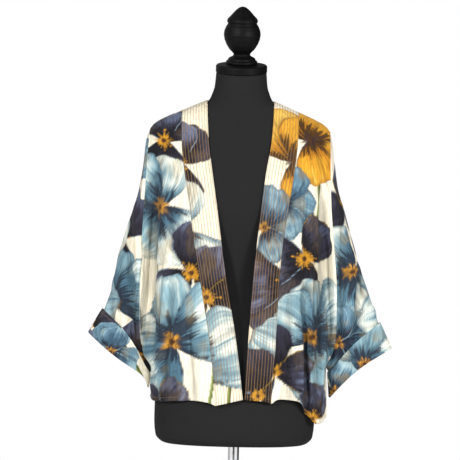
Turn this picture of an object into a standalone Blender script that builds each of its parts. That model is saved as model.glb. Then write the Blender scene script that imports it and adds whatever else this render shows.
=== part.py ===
# A short open kimono worn on a limbless dress form that stands on a pole and a round base.
# The front faces -Y, Z is up and the origin is the middle of the base's underside.
# Sizes are in millimetres until the meshes are made.
# Heights in the tables are measured from LEVEL, a line through the form's waist.
# The wearer's right is on -X, the wearer's left on +X.

import math

import bmesh
import bpy
import numpy as np

MM = 0.001
LEVEL = 679.0
FRONT = 1
BACK = 2

WALL = 1.6
CUFF_WALL = 2.0
SEAM_HALF = 0.15
UNDERARM_HALF = 0.35
ARCH = 45.0
SHOULDER_TIP = 198.0
SEAM_RUN = 8.0
SIDE_POWER = 2.6

# How many strips each piece has.
ARM_ROWS = 19
SIDE_ROWS = 4
FRONT_COLUMNS = 12
NECK_COLUMNS = 12
BAND_COLUMNS = 3
SLEEVE_RINGS = 9
CUFF_RINGS = 2
FORM_SIDES = 36
TURNED_SIDES = 24

# Height, half width, depth in front and depth behind of the dress form.
FORM = np.array([
    (-405.0, 140.0, 76.0, 80.0),
    (-403.5, 151.0, 87.0, 91.0),
    (-398.0, 163.0, 98.0, 103.0),
    (-386.0, 172.5, 105.0, 111.0),
    (-350.0, 176.0, 109.0, 117.0),
    (-290.0, 175.0, 110.0, 120.0),
    (-240.0, 167.0, 107.0, 115.0),
    (-180.0, 152.0, 101.0, 104.0),
    (-120.0, 132.0, 92.0, 90.0),
    (-60.0, 117.0, 85.0, 80.0),
    (0.0, 122.0, 92.0, 84.0),
    (60.0, 136.0, 107.0, 94.0),
    (120.0, 150.0, 119.0, 102.0),
    (170.0, 158.0, 115.0, 107.0),
    (220.0, 168.0, 98.0, 105.0),
    (260.0, 181.0, 82.0, 97.0),
    (280.0, 184.5, 74.0, 92.0),
    (291.0, 182.5, 69.5, 87.0),
    (300.5, 176.0, 67.0, 83.0),
    (307.4, 165.0, 65.0, 78.0),
    (314.8, 149.5, 63.0, 73.0),
    (323.2, 129.5, 61.5, 67.5),
    (332.2, 109.5, 60.0, 62.0),
    (340.8, 89.5, 58.5, 59.5),
    (346.4, 75.5, 57.0, 58.5),
    (352.0, 69.0, 56.0, 58.0),
    (358.0, 66.0, 55.5, 57.5),
    (366.0, 63.0, 55.0, 57.0),
    (380.0, 58.5, 54.5, 56.0),
    (412.6, 55.4, 53.4, 53.8),
])
FORM_POWER = 2.2

# Distance from the middle and height of the cloth's ridge over the shoulder.
RIDGE = np.array([
    (0.0, 353.0), (60.0, 353.0), (70.0, 352.0), (78.0, 349.5), (90.0, 344.5), (110.0, 336.0),
    (130.0, 327.0), (150.0, 318.5), (166.0, 311.0), (180.0, 303.5), (190.0, 296.0), (198.0, 286.0),
])

# Height, then how far the cloth hangs from the middle plane at the centre, in front and behind.
HANG = np.array([
    (353.0, 62.0, 60.0), (300.0, 68.0, 88.0), (260.0, 82.0, 102.0), (220.0, 98.0, 110.0),
    (170.0, 114.0, 115.0), (120.0, 122.0, 116.0), (0.0, 124.0, 115.0), (-100.0, 122.0, 116.0),
    (-200.0, 120.0, 125.0), (-290.0, 121.0, 132.0), (-360.0, 123.0, 134.0),
])

# Height and distance from the middle of each side's armhole and side seam.
ARMHOLE = {
    -1: np.array([(286.0, 198.0), (222.0, 201.0), (123.0, 206.0), (18.0, 210.5), (-45.0, 212.0),
                  (-157.0, 210.0), (-205.0, 203.0), (-246.0, 183.5), (-304.0, 185.5), (-370.0, 186.0)]),
    1: np.array([(286.0, 198.0), (222.0, 198.0), (120.0, 202.0), (18.0, 211.0), (-50.0, 217.0),
                 (-154.0, 219.0), (-195.0, 214.0), (-232.0, 200.0), (-290.0, 202.0), (-370.0, 204.0)]),
}
UNDERARM = {-1: -246.0, 1: -232.0}

# Height, then the inner and outer edge of each front band, as positions across.
BAND = {
    -1: np.array([(352.0, -74.0, -129.0), (265.0, -68.5, -127.5), (190.0, -58.5, -119.0),
                  (120.0, -47.6, -107.0), (37.0, -35.8, -94.5), (-47.0, -22.8, -79.5),
                  (-158.0, -2.2, -60.0), (-230.0, 8.5, -50.0), (-298.5, 17.2, -41.5)]),
    1: np.array([(352.0, 74.0, 129.0), (265.0, 69.0, 126.0), (190.0, 57.5, 118.5),
                 (118.0, 49.0, 108.0), (25.0, 39.6, 95.6), (-45.0, 34.0, 90.5),
                 (-186.0, 25.7, 85.5), (-298.5, 20.8, 78.5)]),
}
BAND_FOOT = {-1: (-298.5, -313.0), 1: (-298.5, -307.0)}

# Position across and height of each hem.
HEM = {
    -1: np.array([(-185.5, -304.0), (-173.0, -310.0), (-130.0, -306.0), (-87.0, -303.5),
                  (-60.0, -306.0), (-41.5, -313.0)]),
    1: np.array([(78.5, -307.0), (95.0, -297.0), (120.0, -298.5), (136.0, -301.0), (148.0, -314.0),
                 (159.0, -332.0), (180.0, -352.0), (194.0, -349.0), (203.5, -341.0)]),
}
BACK_HEM = np.array([(-185.5, -304.0), (-120.0, -309.0), (0.0, -308.0), (100.0, -311.0),
                     (150.0, -324.0), (180.0, -340.0), (203.5, -341.0)])

# The deep valley beside each armhole: height, position across, depth and half width.
VALLEY = {
    -1: np.array([(190.0, 184.0, 0.0, 12.0), (110.0, 184.0, 12.0, 12.0), (40.0, 187.0, 30.0, 12.0),
                  (-72.0, 192.0, 38.0, 12.0), (-140.0, 195.0, 30.0, 11.0), (-190.0, 193.0, 10.0, 10.0),
                  (-238.0, 186.0, 0.0, 10.0)]),
    1: np.array([(200.0, 180.0, 0.0, 11.0), (120.0, 184.0, 14.0, 11.0), (30.0, 191.0, 26.0, 10.0),
                 (-50.0, 197.0, 34.0, 10.0), (-120.0, 202.0, 27.0, 10.0), (-175.0, 201.0, 9.0, 10.0),
                 (-225.0, 196.0, 0.0, 10.0)]),
}

# Soft folds of the body: side of the body, position across at the top and foot,
# height of the top and foot, how far it stands out, and half width.
FOLDS = [
    # face, x_top, x_foot, top, foot, out, half_width
    (FRONT, -140.0, -150.0, 230.0, -300.0, 6.0, 13.0),
    (FRONT, -112.0, -105.0, 60.0, -310.0, -5.0, 12.0),
    (FRONT, 150.0, 128.0, 210.0, -300.0, 6.0, 13.0),
    (FRONT, 140.0, 160.0, -40.0, -350.0, -9.0, 9.0),
    (FRONT, 166.0, 181.0, -60.0, -350.0, 6.0, 8.0),
    (BACK, -150.0, -140.0, 240.0, -310.0, 7.0, 15.0),
    (BACK, -95.0, -80.0, 120.0, -310.0, 8.0, 16.0),
    (BACK, -30.0, -15.0, 60.0, -310.0, 6.0, 15.0),
    (BACK, 40.0, 52.0, 80.0, -310.0, 8.0, 16.0),
    (BACK, 105.0, 112.0, 130.0, -320.0, 7.0, 15.0),
    (BACK, 158.0, 165.0, 240.0, -330.0, 6.0, 12.0),
]

# Outer edge of each sleeve down to the cuff's top, from the shoulder: position across, height.
SLEEVE_OUTER = {
    -1: np.array([(198.0, 286.0), (207.0, 258.0), (212.0, 207.0), (220.0, 154.0), (234.0, 101.0),
                  (249.0, 48.0), (263.0, -5.0), (273.0, -58.0), (291.0, -114.0)]),
    1: np.array([(198.0, 286.0), (203.5, 262.0), (210.0, 216.0), (218.0, 163.0), (234.0, 111.0),
                 (249.0, 58.0), (264.0, 5.0), (283.0, -47.0), (313.0, -132.0)]),
}
# The cuff's corners: top outer, top inner, foot outer and foot inner, how far the edges bow up,
# and how far the foot's bow leans toward the underarm (1 is in the middle).
CUFF = {
    -1: {"top_out": (291.0, -114.0), "top_in": (189.5, -255.0), "foot_out": (323.0, -166.0),
         "foot_in": (190.5, -283.0), "bow_top": 13.0, "bow_foot": 11.0, "lean": 3.4},
    1: {"top_out": (313.0, -132.0), "top_in": (207.0, -243.0), "foot_out": (341.0, -188.0),
        "foot_in": (209.0, -297.0), "bow_top": 8.0, "bow_foot": 10.0, "lean": 1.0},
}
CUFF_DEPTH_TOP = 26.0
CUFF_DEPTH_FOOT = 21.0
CUFF_CLEAR = 0.4
CUFF_FLARE = 2.4
CUFF_START = 0.12

# Soft folds of a sleeve: how far round the ring (in turns of pi, front above nought),
# how far it stands out, half width in the same turns, and where along the sleeve it is deepest.
SLEEVE_FOLDS = [
    # around, out, half_width, along
    (0.62, -9.0, 0.055, 0.55),
    (0.50, 6.0, 0.06, 0.60),
    (0.36, -5.0, 0.05, 0.70),
    (-0.60, -8.0, 0.06, 0.55),
    (-0.45, 6.0, 0.06, 0.60),
    (-0.30, -4.0, 0.05, 0.70),
]


def smooth(at, knots, values):
    """A smooth curve through a short table that never runs past its own values."""
    order = np.argsort(knots)
    knot = np.asarray(knots, float)[order]
    value = np.asarray(values, float)[order]
    step = np.diff(knot)
    slope = np.diff(value) / step
    tangent = np.zeros(len(knot))
    tangent[0] = slope[0]
    tangent[-1] = slope[-1]
    for i in range(1, len(knot) - 1):
        if slope[i - 1] * slope[i] > 0.0:
            before = 2.0 * step[i] + step[i - 1]
            after = step[i] + 2.0 * step[i - 1]
            tangent[i] = (before + after) / (before / slope[i - 1] + after / slope[i])
    place = np.clip(np.asarray(at, float), knot[0], knot[-1])
    cell = np.clip(np.searchsorted(knot, place, side="right") - 1, 0, len(step) - 1)
    t = (place - knot[cell]) / step[cell]
    h00 = (1.0 + 2.0 * t) * (1.0 - t) ** 2
    h10 = t * (1.0 - t) ** 2
    h01 = t * t * (3.0 - 2.0 * t)
    h11 = t * t * (t - 1.0)
    rise = h10 * tangent[cell] + h11 * tangent[cell + 1]
    return h00 * value[cell] + h01 * value[cell + 1] + step[cell] * rise


def fade(value, low, high):
    """Nought below low, one above high, smooth between."""
    t = np.clip((value - low) / (high - low), 0.0, 1.0)
    return t * t * (3.0 - 2.0 * t)


def ridge(across):
    return smooth(np.minimum(np.abs(across), SHOULDER_TIP), RIDGE[:, 0], RIDGE[:, 1])


def form_depth(across, height, face, wider=0.0, deeper=0.0):
    """Half depth of the form at a place across and a height, or nought outside it."""
    width = smooth(height, FORM[:, 0], FORM[:, 1]) + wider
    deep = smooth(height, FORM[:, 0], FORM[:, 1 + face]) + deeper
    inside = np.clip(1.0 - (np.abs(across) / width) ** FORM_POWER, 0.0, 1.0)
    inside = np.where(height > FORM[-1, 0], 0.0, inside)
    return deep * inside ** (1.0 / FORM_POWER)


GRID_ACROSS = np.arange(0.0, 202.0, 2.0)
GRID_DOWN = np.arange(364.0, -400.0, -2.0)
RISE = 3.0


def hang_grid(face):
    """Deepest place of the form above each height, since cloth hangs straight down from it."""
    across, height = np.meshgrid(GRID_ACROSS, GRID_DOWN)
    wider = 1.0 + 2.0 * (1.0 - fade(height, 270.0, 300.0))
    deep = form_depth(across, height - RISE, face, wider, 3.0)
    deep = np.where(height > 353.0, 0.0, deep)
    return np.maximum.accumulate(deep, axis=0)


HANG_GRID = {FRONT: hang_grid(FRONT), BACK: hang_grid(BACK)}


def form_hang(across, height, face):
    """How far cloth stands off that hangs from the form."""
    a = np.clip(np.abs(across) / 2.0, 0.0, len(GRID_ACROSS) - 1.001)
    b = np.clip((GRID_DOWN[0] - height) / 2.0, 0.0, len(GRID_DOWN) - 1.001)
    i = a.astype(int)
    j = b.astype(int)
    u = a - i
    v = b - j
    grid = HANG_GRID[face]
    upper = grid[j, i] * (1.0 - u) + grid[j, i + 1] * u
    lower = grid[j + 1, i] * (1.0 - u) + grid[j + 1, i + 1] * u
    wider = 1.0 + 2.0 * (1.0 - fade(height, 270.0, 300.0))
    here = form_depth(across, height - RISE, face, wider, 3.0)
    here = np.where(np.abs(across) < 74.0, np.where(height > 356.0, 0.0, here), here)
    return np.maximum(upper * (1.0 - v) + lower * v, here)


def edge_across(height, side):
    return smooth(height, ARMHOLE[side][:, 0], ARMHOLE[side][:, 1])


def edge_depth(share):
    """Half depth of the armhole, share going from the shoulder to the underarm."""
    top = 1.0 - np.clip(1.0 - share / 0.2, 0.0, 1.0) ** 2
    foot = 1.0 - np.clip((share - 0.5) / 0.5, 0.0, 1.0) ** 2
    return 58.0 * np.sqrt(np.clip(top, 0.0, 1.0)) * np.sqrt(np.clip(foot, 0.0, 1.0))


def side_depth(across, height, top, face, side):
    fall = np.maximum(top - height, 0.0)
    share = fall / (top - UNDERARM[side])
    edge = edge_depth(np.clip(share, 0.0, 1.0))
    centre = smooth(height, HANG[:, 0], HANG[:, face])
    reach = np.clip(np.abs(across) / edge_across(height, side), 0.0, 1.0)
    power = 1.0 / (1.1 + 0.75 * (1.0 - fade(height, -250.0, -150.0)))
    lens = (1.0 - reach ** SIDE_POWER) ** power
    arch = np.sqrt(1.0 - (1.0 - np.clip(fall / 100.0, 0.0, 1.0)) ** 2)
    deep = edge + (centre - edge) * lens * arch
    if face == FRONT:
        table = VALLEY[side]
        middle = smooth(height, table[:, 0], table[:, 1])
        low = smooth(height, table[:, 0], table[:, 2])
        half = smooth(height, table[:, 0], table[:, 3])
        deep = deep - low * np.exp(-(((np.abs(across) - middle) / half) ** 2))
    return deep, reach


def body_depth(across, height, top, face):
    """Distance of the body's cloth from the middle plane, in front or behind."""
    right, reach_right = side_depth(across, height, top, face, -1)
    left, reach_left = side_depth(across, height, top, face, 1)
    deep = np.where(across < 0.0, right, left)
    reach = np.where(across < 0.0, reach_right, reach_left)
    for face_of, x_top, x_foot, high, foot, out, half in FOLDS:
        if face_of != face:
            continue
        along = np.clip((high - height) / (high - foot), 0.0, 1.0)
        middle = x_top + (x_foot - x_top) * along
        swell = out * fade(along, 0.0, 0.6) * (1.0 - fade(reach, 0.86, 0.99))
        deep = deep + swell * np.exp(-(((across - middle) / half) ** 2))
    held = form_hang(across, height, face)
    soft = 5.0 * fade(top - height, 4.0, 60.0)
    both = 0.5 * (deep + held + np.sqrt((deep - held) ** 2 + soft ** 2))
    both = np.where(reach > 0.999, deep, both)
    fall = np.maximum(top - height, 0.0)
    return np.minimum(both, np.sqrt(250.0 * fall + fall * fall))


def body_point(across, run):
    """Point of the body's cloth; run goes over the shoulder and is above nought in front."""
    across = np.asarray(across, float)
    run = np.asarray(run, float)
    top = ridge(across)
    height = top - (np.sqrt(run * run + ARCH * ARCH) - ARCH)
    ahead = -body_depth(across, height, top, FRONT)
    behind = body_depth(across, height, top, BACK)
    return np.stack([across, np.where(run >= 0.0, ahead, behind), height], -1)


def run_at(across, height):
    """How far over the shoulder a height lies, for a place across."""
    fall = np.maximum(ridge(across) - height, 0.0)
    return np.sqrt((fall + ARCH) ** 2 - ARCH * ARCH)


def patch(top, foot, left, right, down=None):
    """Fill the space between four edges, each a list of points with shared corners."""
    columns = len(top)
    rows = len(left)
    across = np.linspace(0.0, 1.0, columns)[:, None, None]
    down = np.linspace(0.0, 1.0, rows) if down is None else down
    down = down[None, :, None]
    corners = ((1 - across) * (1 - down) * top[0] + across * (1 - down) * top[-1]
               + (1 - across) * down * foot[0] + across * down * foot[-1])
    sides = (1 - across) * left[None, :, :] + across * right[None, :, :]
    ends = (1 - down) * top[:, None, :] + down * foot[:, None, :]
    return sides + ends - corners


def ring_angles(rows):
    """Angles down the armhole from the shoulder seam to the underarm."""
    share = np.linspace(0.0, 1.0, rows + 1)
    start = math.acos(1.0 - 2.0 * 0.7 / 530.0)
    return start + (math.pi - start) * share ** 1.12


def armhole_line(side, face):
    """The armhole and the side seam as places across and runs."""
    if face == FRONT:
        angle = ring_angles(ARM_ROWS)
    else:
        share = np.linspace(0.0, 1.0, ARM_ROWS + 1)
        start = ring_angles(ARM_ROWS)[0]
        angle = -start + (math.pi + start) * share ** 1.12
        angle[1:] = np.maximum(angle[1:], 0.02)
    share = 0.5 * (1.0 - np.cos(angle))
    tip = ridge(SHOULDER_TIP)
    height = tip + (UNDERARM[side] - tip) * share
    hem = HEM[side][-1, 1] if side > 0 else HEM[side][0, 1]
    below = UNDERARM[side] + (hem - UNDERARM[side]) * np.linspace(0.0, 1.0, SIDE_ROWS + 1)[1:]
    height = np.concatenate([height, below])
    across = edge_across(height, side)
    run = run_at(across, height)
    if face == FRONT:
        run[0] = SEAM_RUN
    else:
        run = -run
        run[0] = SEAM_RUN
    across[0] = SHOULDER_TIP
    return np.stack([side * across, run], -1)


def column_share(count):
    """Places across a front, closer together toward the side."""
    even = np.linspace(0.0, 1.0, count + 1)
    return 0.62 * np.sin(even * math.pi / 2.0) + 0.38 * even


def shoulder_line(side):
    """The shoulder seam from the band to the armhole."""
    inner = abs(BAND[side][0, 2])
    across = inner + (SHOULDER_TIP - inner) * column_share(FRONT_COLUMNS)
    return np.stack([side * across, np.full(len(across), SEAM_RUN)], -1)


def row_share():
    """How far down each row of a front is."""
    line = armhole_line(1, FRONT)
    run = line[:, 1]
    return (run - run[0]) / (run[-1] - run[0])


def band_edge(side, column, height):
    return smooth(height, BAND[side][:, 0], BAND[side][:, column])


def band_line(side, column):
    """The band's inner (1) or outer (2) edge as places across and runs."""
    start = BAND[side][0, column]
    foot = BAND_FOOT[side][column - 1]
    first = SEAM_RUN
    last = run_at(np.array(band_edge(side, column, foot)), np.array(foot))
    run = first + (last - first) * row_share()
    across = np.full(len(run), start)
    for _ in range(12):
        height = ridge(across) - (np.sqrt(run * run + ARCH * ARCH) - ARCH)
        across = band_edge(side, column, height)
    across[0] = start
    return np.stack([across, run], -1)


def hem_line(side):
    """The front hem from the band to the side seam."""
    inner = band_line(side, 2)[-1, 0]
    outer = armhole_line(side, FRONT)[-1, 0]
    across = inner + (outer - inner) * column_share(FRONT_COLUMNS)
    height = smooth(across, HEM[side][:, 0], HEM[side][:, 1])
    return np.stack([across, run_at(across, height)], -1)


def front_cloth(side):
    flat = patch(shoulder_line(side), hem_line(side), band_line(side, 2), armhole_line(side, FRONT),
                 row_share())
    return body_point(flat[..., 0], flat[..., 1])


def band_cloth(side):
    inner = band_line(side, 1)
    outer = band_line(side, 2)
    across = np.linspace(0.0, 1.0, BAND_COLUMNS + 1)[:, None]
    top = inner[0] + (outer[0] - inner[0]) * across
    foot = inner[-1] + (outer[-1] - inner[-1]) * across
    flat = patch(top, foot, inner, outer, row_share())
    return body_point(flat[..., 0], flat[..., 1])


def neck_line():
    """The back neck seam from the wearer's right shoulder to the left, as places across and runs."""
    turn = np.linspace(-1.0, 1.0, NECK_COLUMNS + 1) * math.pi / 2.0
    across = abs(BAND[1][0, 2]) * np.sin(turn)
    run = SEAM_RUN - (SEAM_RUN + 90.0) * np.cos(turn) ** 1.0
    return np.stack([across, run], -1)


def back_cloth():
    right = shoulder_line(-1)[::-1]
    left = shoulder_line(1)
    top = np.concatenate([right, neck_line()[1:-1], left])
    edge_right = armhole_line(-1, BACK)
    edge_left = armhole_line(1, BACK)
    half = column_share(len(top) // 2)
    across = np.concatenate([edge_right[-1, 0] * half[::-1], edge_left[-1, 0] * half[1:]])
    height = smooth(across, BACK_HEM[:, 0], BACK_HEM[:, 1])
    foot = np.stack([across, -run_at(across, height)], -1)
    foot[0] = edge_right[-1]
    foot[-1] = edge_left[-1]
    run_right = edge_right[:, 1]
    down = (run_right - run_right[0]) / (run_right[-1] - run_right[0])
    flat = patch(top, foot, edge_right, edge_left, down)
    return body_point(flat[..., 0], flat[..., 1])


def neck_cloth():
    """The band round the back of the neck, from the inner edge to the back neck seam."""
    seam = neck_line()
    outer = body_point(seam[:, 0], seam[:, 1])
    turn = np.linspace(-1.0, 1.0, NECK_COLUMNS + 1) * math.pi / 2.0
    start = body_point(np.array([BAND[-1][0, 1]]), np.array([SEAM_RUN]))[0]
    end = body_point(np.array([BAND[1][0, 1]]), np.array([SEAM_RUN]))[0]
    rounded = np.maximum(np.cos(turn), 0.0) ** 0.85
    inner = np.stack([
        abs(BAND[1][0, 1]) * np.sin(turn),
        start[1] + (68.0 - start[1]) * rounded,
        start[2] + (354.0 - start[2]) * rounded,
    ], -1)
    inner[0] = start
    inner[-1] = end
    across = np.linspace(0.0, 1.0, BAND_COLUMNS + 1)[:, None]
    ends = []
    for side in (-1, 1):
        line = np.stack([BAND[side][0, 1] + (BAND[side][0, 2] - BAND[side][0, 1]) * across[:, 0],
                         np.full(BAND_COLUMNS + 1, SEAM_RUN)], -1)
        ends.append(body_point(line[:, 0], line[:, 1]))
    return patch(ends[0], ends[1], inner, outer)


def ring_start(side):
    """The armhole ring: front from the shoulder seam down, then the back from the underarm up."""
    ahead = armhole_line(side, FRONT)[: ARM_ROWS + 1]
    behind = armhole_line(side, BACK)[: ARM_ROWS + 1]
    front = body_point(ahead[:, 0], ahead[:, 1])
    back = body_point(behind[:, 0], behind[:, 1])
    return np.concatenate([front, back[-2:0:-1]])


def ring_turns():
    """Angle of each point of a ring; the front counts above nought, the back below."""
    ahead = ring_angles(ARM_ROWS)
    share = np.linspace(0.0, 1.0, ARM_ROWS + 1)
    start = ring_angles(ARM_ROWS)[0]
    behind = -start + (math.pi + start) * share ** 1.12
    return np.concatenate([ahead, -behind[-2:0:-1]])


def along_edge(table, count_share):
    """Points along a table of places, spaced by their length."""
    length = np.concatenate([[0.0], np.cumsum(np.hypot(*np.diff(table, axis=0).T))])
    length /= length[-1]
    x = smooth(count_share, length, table[:, 0])
    z = smooth(count_share, length, table[:, 1])
    return np.stack([x, z], -1)


def cuff_ring(side, which, turns):
    """The ring at the cuff's top or foot, seen from the front and then given its depth."""
    spec = CUFF[side]
    outer = np.array(spec[which + "_out"])
    inner = np.array(spec[which + "_in"])
    share = 0.5 * (1.0 - np.cos(turns))
    line = outer + (inner - outer) * share[:, None]
    across = inner - outer
    normal = np.array([-across[1], across[0]]) / np.hypot(*across)
    if normal[1] < 0.0:
        normal = -normal
    lean = spec["lean"] if which == "foot" else 1.0
    line = line + normal * (spec["bow_" + which] * np.sin(math.pi * share ** lean))[:, None]
    return line, share


def top_corner(side, end):
    return np.array(CUFF[side]["top_" + end])


def sleeve_cloth(side):
    """The sleeve as rings from the armhole to the cuff's top and on to its foot."""
    turns = ring_turns()
    start = ring_start(side)
    share = 0.5 * (1.0 - np.cos(turns))
    first = np.stack([np.abs(start[:, 0]), start[:, 2]], -1)
    top_line, _ = cuff_ring(side, "top", turns)
    foot_line, _ = cuff_ring(side, "foot", turns)
    along = np.linspace(0.0, 1.0, SLEEVE_RINGS + 1)
    outer = along_edge(SLEEVE_OUTER[side], along)
    corner = np.array([edge_across(UNDERARM[side], side), UNDERARM[side]])
    inner = corner + (np.array(CUFF[side]["top_in"]) - corner) * along[:, None]
    tip = np.array([SHOULDER_TIP, ridge(SHOULDER_TIP)])
    rings = []
    sign = np.sin(turns)
    full = np.sign(sign) * np.abs(sign) ** 0.75
    for k, r in enumerate(along):
        w = share[:, None]
        bulge = first - (1 - w) * tip - w * corner
        bow = top_line - (1 - w) * top_corner(side, "out") - w * top_corner(side, "in")
        fan = (1 - w) * outer[k] + w * inner[k] + (1 - r * r) * bulge + r * bow
        blend = r ** 1.1
        deep = (1 - blend) * start[:, 1] - blend * CUFF_DEPTH_TOP * full
        belly = 9.0 * math.sin(math.pi * min(r * 1.1, 1.0)) * sign
        deep = deep - belly
        for around, out, half, at in SLEEVE_FOLDS:
            near = np.exp(-(((turns / math.pi - around) / half) ** 2))
            where = math.exp(-(((r - at) / 0.3) ** 2)) * math.sin(math.pi * r)
            deep = deep - np.sign(around) * out * near * where
        rings.append(np.stack([side * fan[:, 0], deep, fan[:, 1]], -1))
    for k in range(1, CUFF_RINGS + 1):
        r = k / CUFF_RINGS
        line = top_line + (foot_line - top_line) * r
        deep = -(CUFF_DEPTH_TOP + (CUFF_DEPTH_FOOT - CUFF_DEPTH_TOP) * r) * full
        rings.append(np.stack([side * line[:, 0], deep, line[:, 1]], -1))
    return np.array(rings)


def surface_faces(grid, closed):
    """Corner numbers of the four-sided cells of a grid; closed grids join round their last axis."""
    rows, columns = grid.shape[:2]
    faces = []
    last = columns if closed else columns - 1
    for i in range(rows - 1):
        for j in range(last):
            k = (j + 1) % columns
            faces.append((i * columns + j, i * columns + k, (i + 1) * columns + k, (i + 1) * columns + j))
    return np.array(faces)


def face_vectors(grid, closed, flip):
    """The cells of a grid and a vector out of each, as long as the cell is large."""
    points = grid.reshape(-1, 3)
    faces = surface_faces(grid, closed)
    first = points[faces[:, 2]] - points[faces[:, 0]]
    second = points[faces[:, 3]] - points[faces[:, 1]]
    return faces, np.cross(first, second) * (-1.0 if flip else 1.0)


def point_directions(cloths):
    """One outward direction at each point, shared where the given pieces meet."""
    sums = {}
    for grid, closed, flip in cloths.values():
        points = grid.reshape(-1, 3)
        for face, vector in zip(*face_vectors(grid, closed, flip)):
            for corner in face:
                key = tuple(np.round(points[corner], 2))
                sums[key] = sums.get(key, np.zeros(3)) + vector
    directions = {}
    for name, (grid, closed, flip) in cloths.items():
        out = np.array([sums[tuple(np.round(p, 2))] for p in grid.reshape(-1, 3)])
        directions[name] = out / np.linalg.norm(out, axis=1)[:, None]
    return directions


def near_underarm(points, reach):
    """One at the underarm, fading to nought with distance up or down."""
    corner = np.where(points[..., 0] < 0.0, UNDERARM[-1], UNDERARM[1])
    arm = fade(np.abs(points[..., 0]), 150.0, 170.0)
    return arm * np.exp(-(((points[..., 2] - corner) / reach) ** 2))


def shared_normals(cloths):
    """Outward directions and how far to reach along them for an even wall.

    All pieces share them at seams, but at the underarm sleeve and body turn away from each other
    and keep their own.
    """
    together = point_directions(cloths)
    body = {name: cloth for name, cloth in cloths.items() if "sleeve" not in name}
    apart = point_directions(body)
    for name, cloth in cloths.items():
        if "sleeve" in name:
            apart.update(point_directions({name: cloth}))
    normals = {}
    for name, (grid, closed, flip) in cloths.items():
        weight = near_underarm(grid.reshape(-1, 3), 34.0)[:, None]
        out = together[name] * (1.0 - weight) + apart[name] * weight
        out /= np.linalg.norm(out, axis=1)[:, None]
        faces, vectors = face_vectors(grid, closed, flip)
        unit = vectors / np.maximum(np.linalg.norm(vectors, axis=1), 1e-9)[:, None]
        meet = np.ones(len(out))
        for face, vector in zip(faces, unit):
            for corner in face:
                meet[corner] = min(meet[corner], float(out[corner] @ vector))
        normals[name] = (out, np.clip(meet, 0.7, 1.0))
    return normals


def pull_in(grid, closed):
    """Draw the edges in by half a seam, and a little more where the underarm's seams meet."""
    moved = grid.copy()
    edges = [((0, slice(None)), (1, slice(None))), ((-1, slice(None)), (-2, slice(None)))]
    if not closed:
        edges += [((slice(None), 0), (slice(None), 1)), ((slice(None), -1), (slice(None), -2))]
    for edge, beside in edges:
        line = grid[edge]
        if closed:
            tangent = np.roll(line, -1, axis=0) - np.roll(line, 1, axis=0)
        else:
            tangent = np.gradient(line, axis=0)
        tangent /= np.maximum(np.linalg.norm(tangent, axis=1), 1e-9)[:, None]
        side = grid[beside] - line
        side -= tangent * np.sum(side * tangent, axis=1)[:, None]
        side /= np.maximum(np.linalg.norm(side, axis=1), 1e-9)[:, None]
        moved[edge] += (SEAM_HALF + UNDERARM_HALF * near_underarm(line, 28.0))[:, None] * side
    return moved


def wall_solid(outer, inner, closed, flip):
    """Close an outer and an inner sheet into one wall."""
    count = outer.shape[0] * outer.shape[1]
    faces = surface_faces(outer, closed)
    if flip:
        faces = faces[:, ::-1]
    cells = [tuple(f) for f in faces]
    cells += [tuple(count + v for v in f[::-1]) for f in faces]
    edges = {}
    for face in faces:
        for a, b in zip(face, np.roll(face, -1)):
            edges[(int(a), int(b))] = True
    for a, b in list(edges):
        if (b, a) not in edges:
            cells.append((b, a, count + a, count + b))
    return np.concatenate([outer.reshape(-1, 3), inner.reshape(-1, 3)]), cells


def lathe(profile, sides=TURNED_SIDES):
    """Turn a closed profile of radius and height; a radius of nought closes on the axis."""
    points = []
    rows = []
    for radius, height in profile:
        if radius == 0.0:
            rows.append([len(points)])
            points.append((0.0, 0.0, height))
        else:
            rows.append(list(range(len(points), len(points) + sides)))
            for k in range(sides):
                a = 2.0 * math.pi * k / sides
                points.append((radius * math.cos(a), radius * math.sin(a), height))
    cells = []
    for low, high in zip(rows[:-1], rows[1:]):
        for k in range(sides):
            m = (k + 1) % sides
            if len(low) == 1:
                cells.append((low[0], high[m], high[k]))
            elif len(high) == 1:
                cells.append((low[k], low[m], high[0]))
            else:
                cells.append((low[k], low[m], high[m], high[k]))
    return np.array(points), cells


def form_ring(height, width, ahead, behind):
    points = []
    for k in range(FORM_SIDES):
        a = 2.0 * math.pi * k / FORM_SIDES
        c = math.cos(a)
        s = math.sin(a)
        x = width * math.copysign(abs(c) ** (2.0 / FORM_POWER), c)
        deep = behind if s > 0.0 else ahead
        y = deep * math.copysign(abs(s) ** (2.0 / FORM_POWER), s)
        points.append((x, y, height))
    return points


POLE_RADIUS = 12.2
SOCKET_RADIUS = 12.6
SOCKET_TOP = -350.0
# The neck's top is cut on a slant, lower in front, and the cap and the finial lean with it.
NECK_LEAN = math.radians(12.0)
NECK_TOP = 413.0
NECK_STRAIGHT = 358.0


def leaning(points, share=1.0, pivot=NECK_TOP):
    """Turn points forward about a line across the neck, by a share of the neck's lean."""
    points = np.array(points)
    angle = NECK_LEAN * share
    up = points[:, 2] - pivot
    c = math.cos(angle)
    s = math.sin(angle)
    back = points[:, 1] * c - up * s
    return np.stack([points[:, 0], back, pivot + points[:, 1] * s + up * c], -1)


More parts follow.
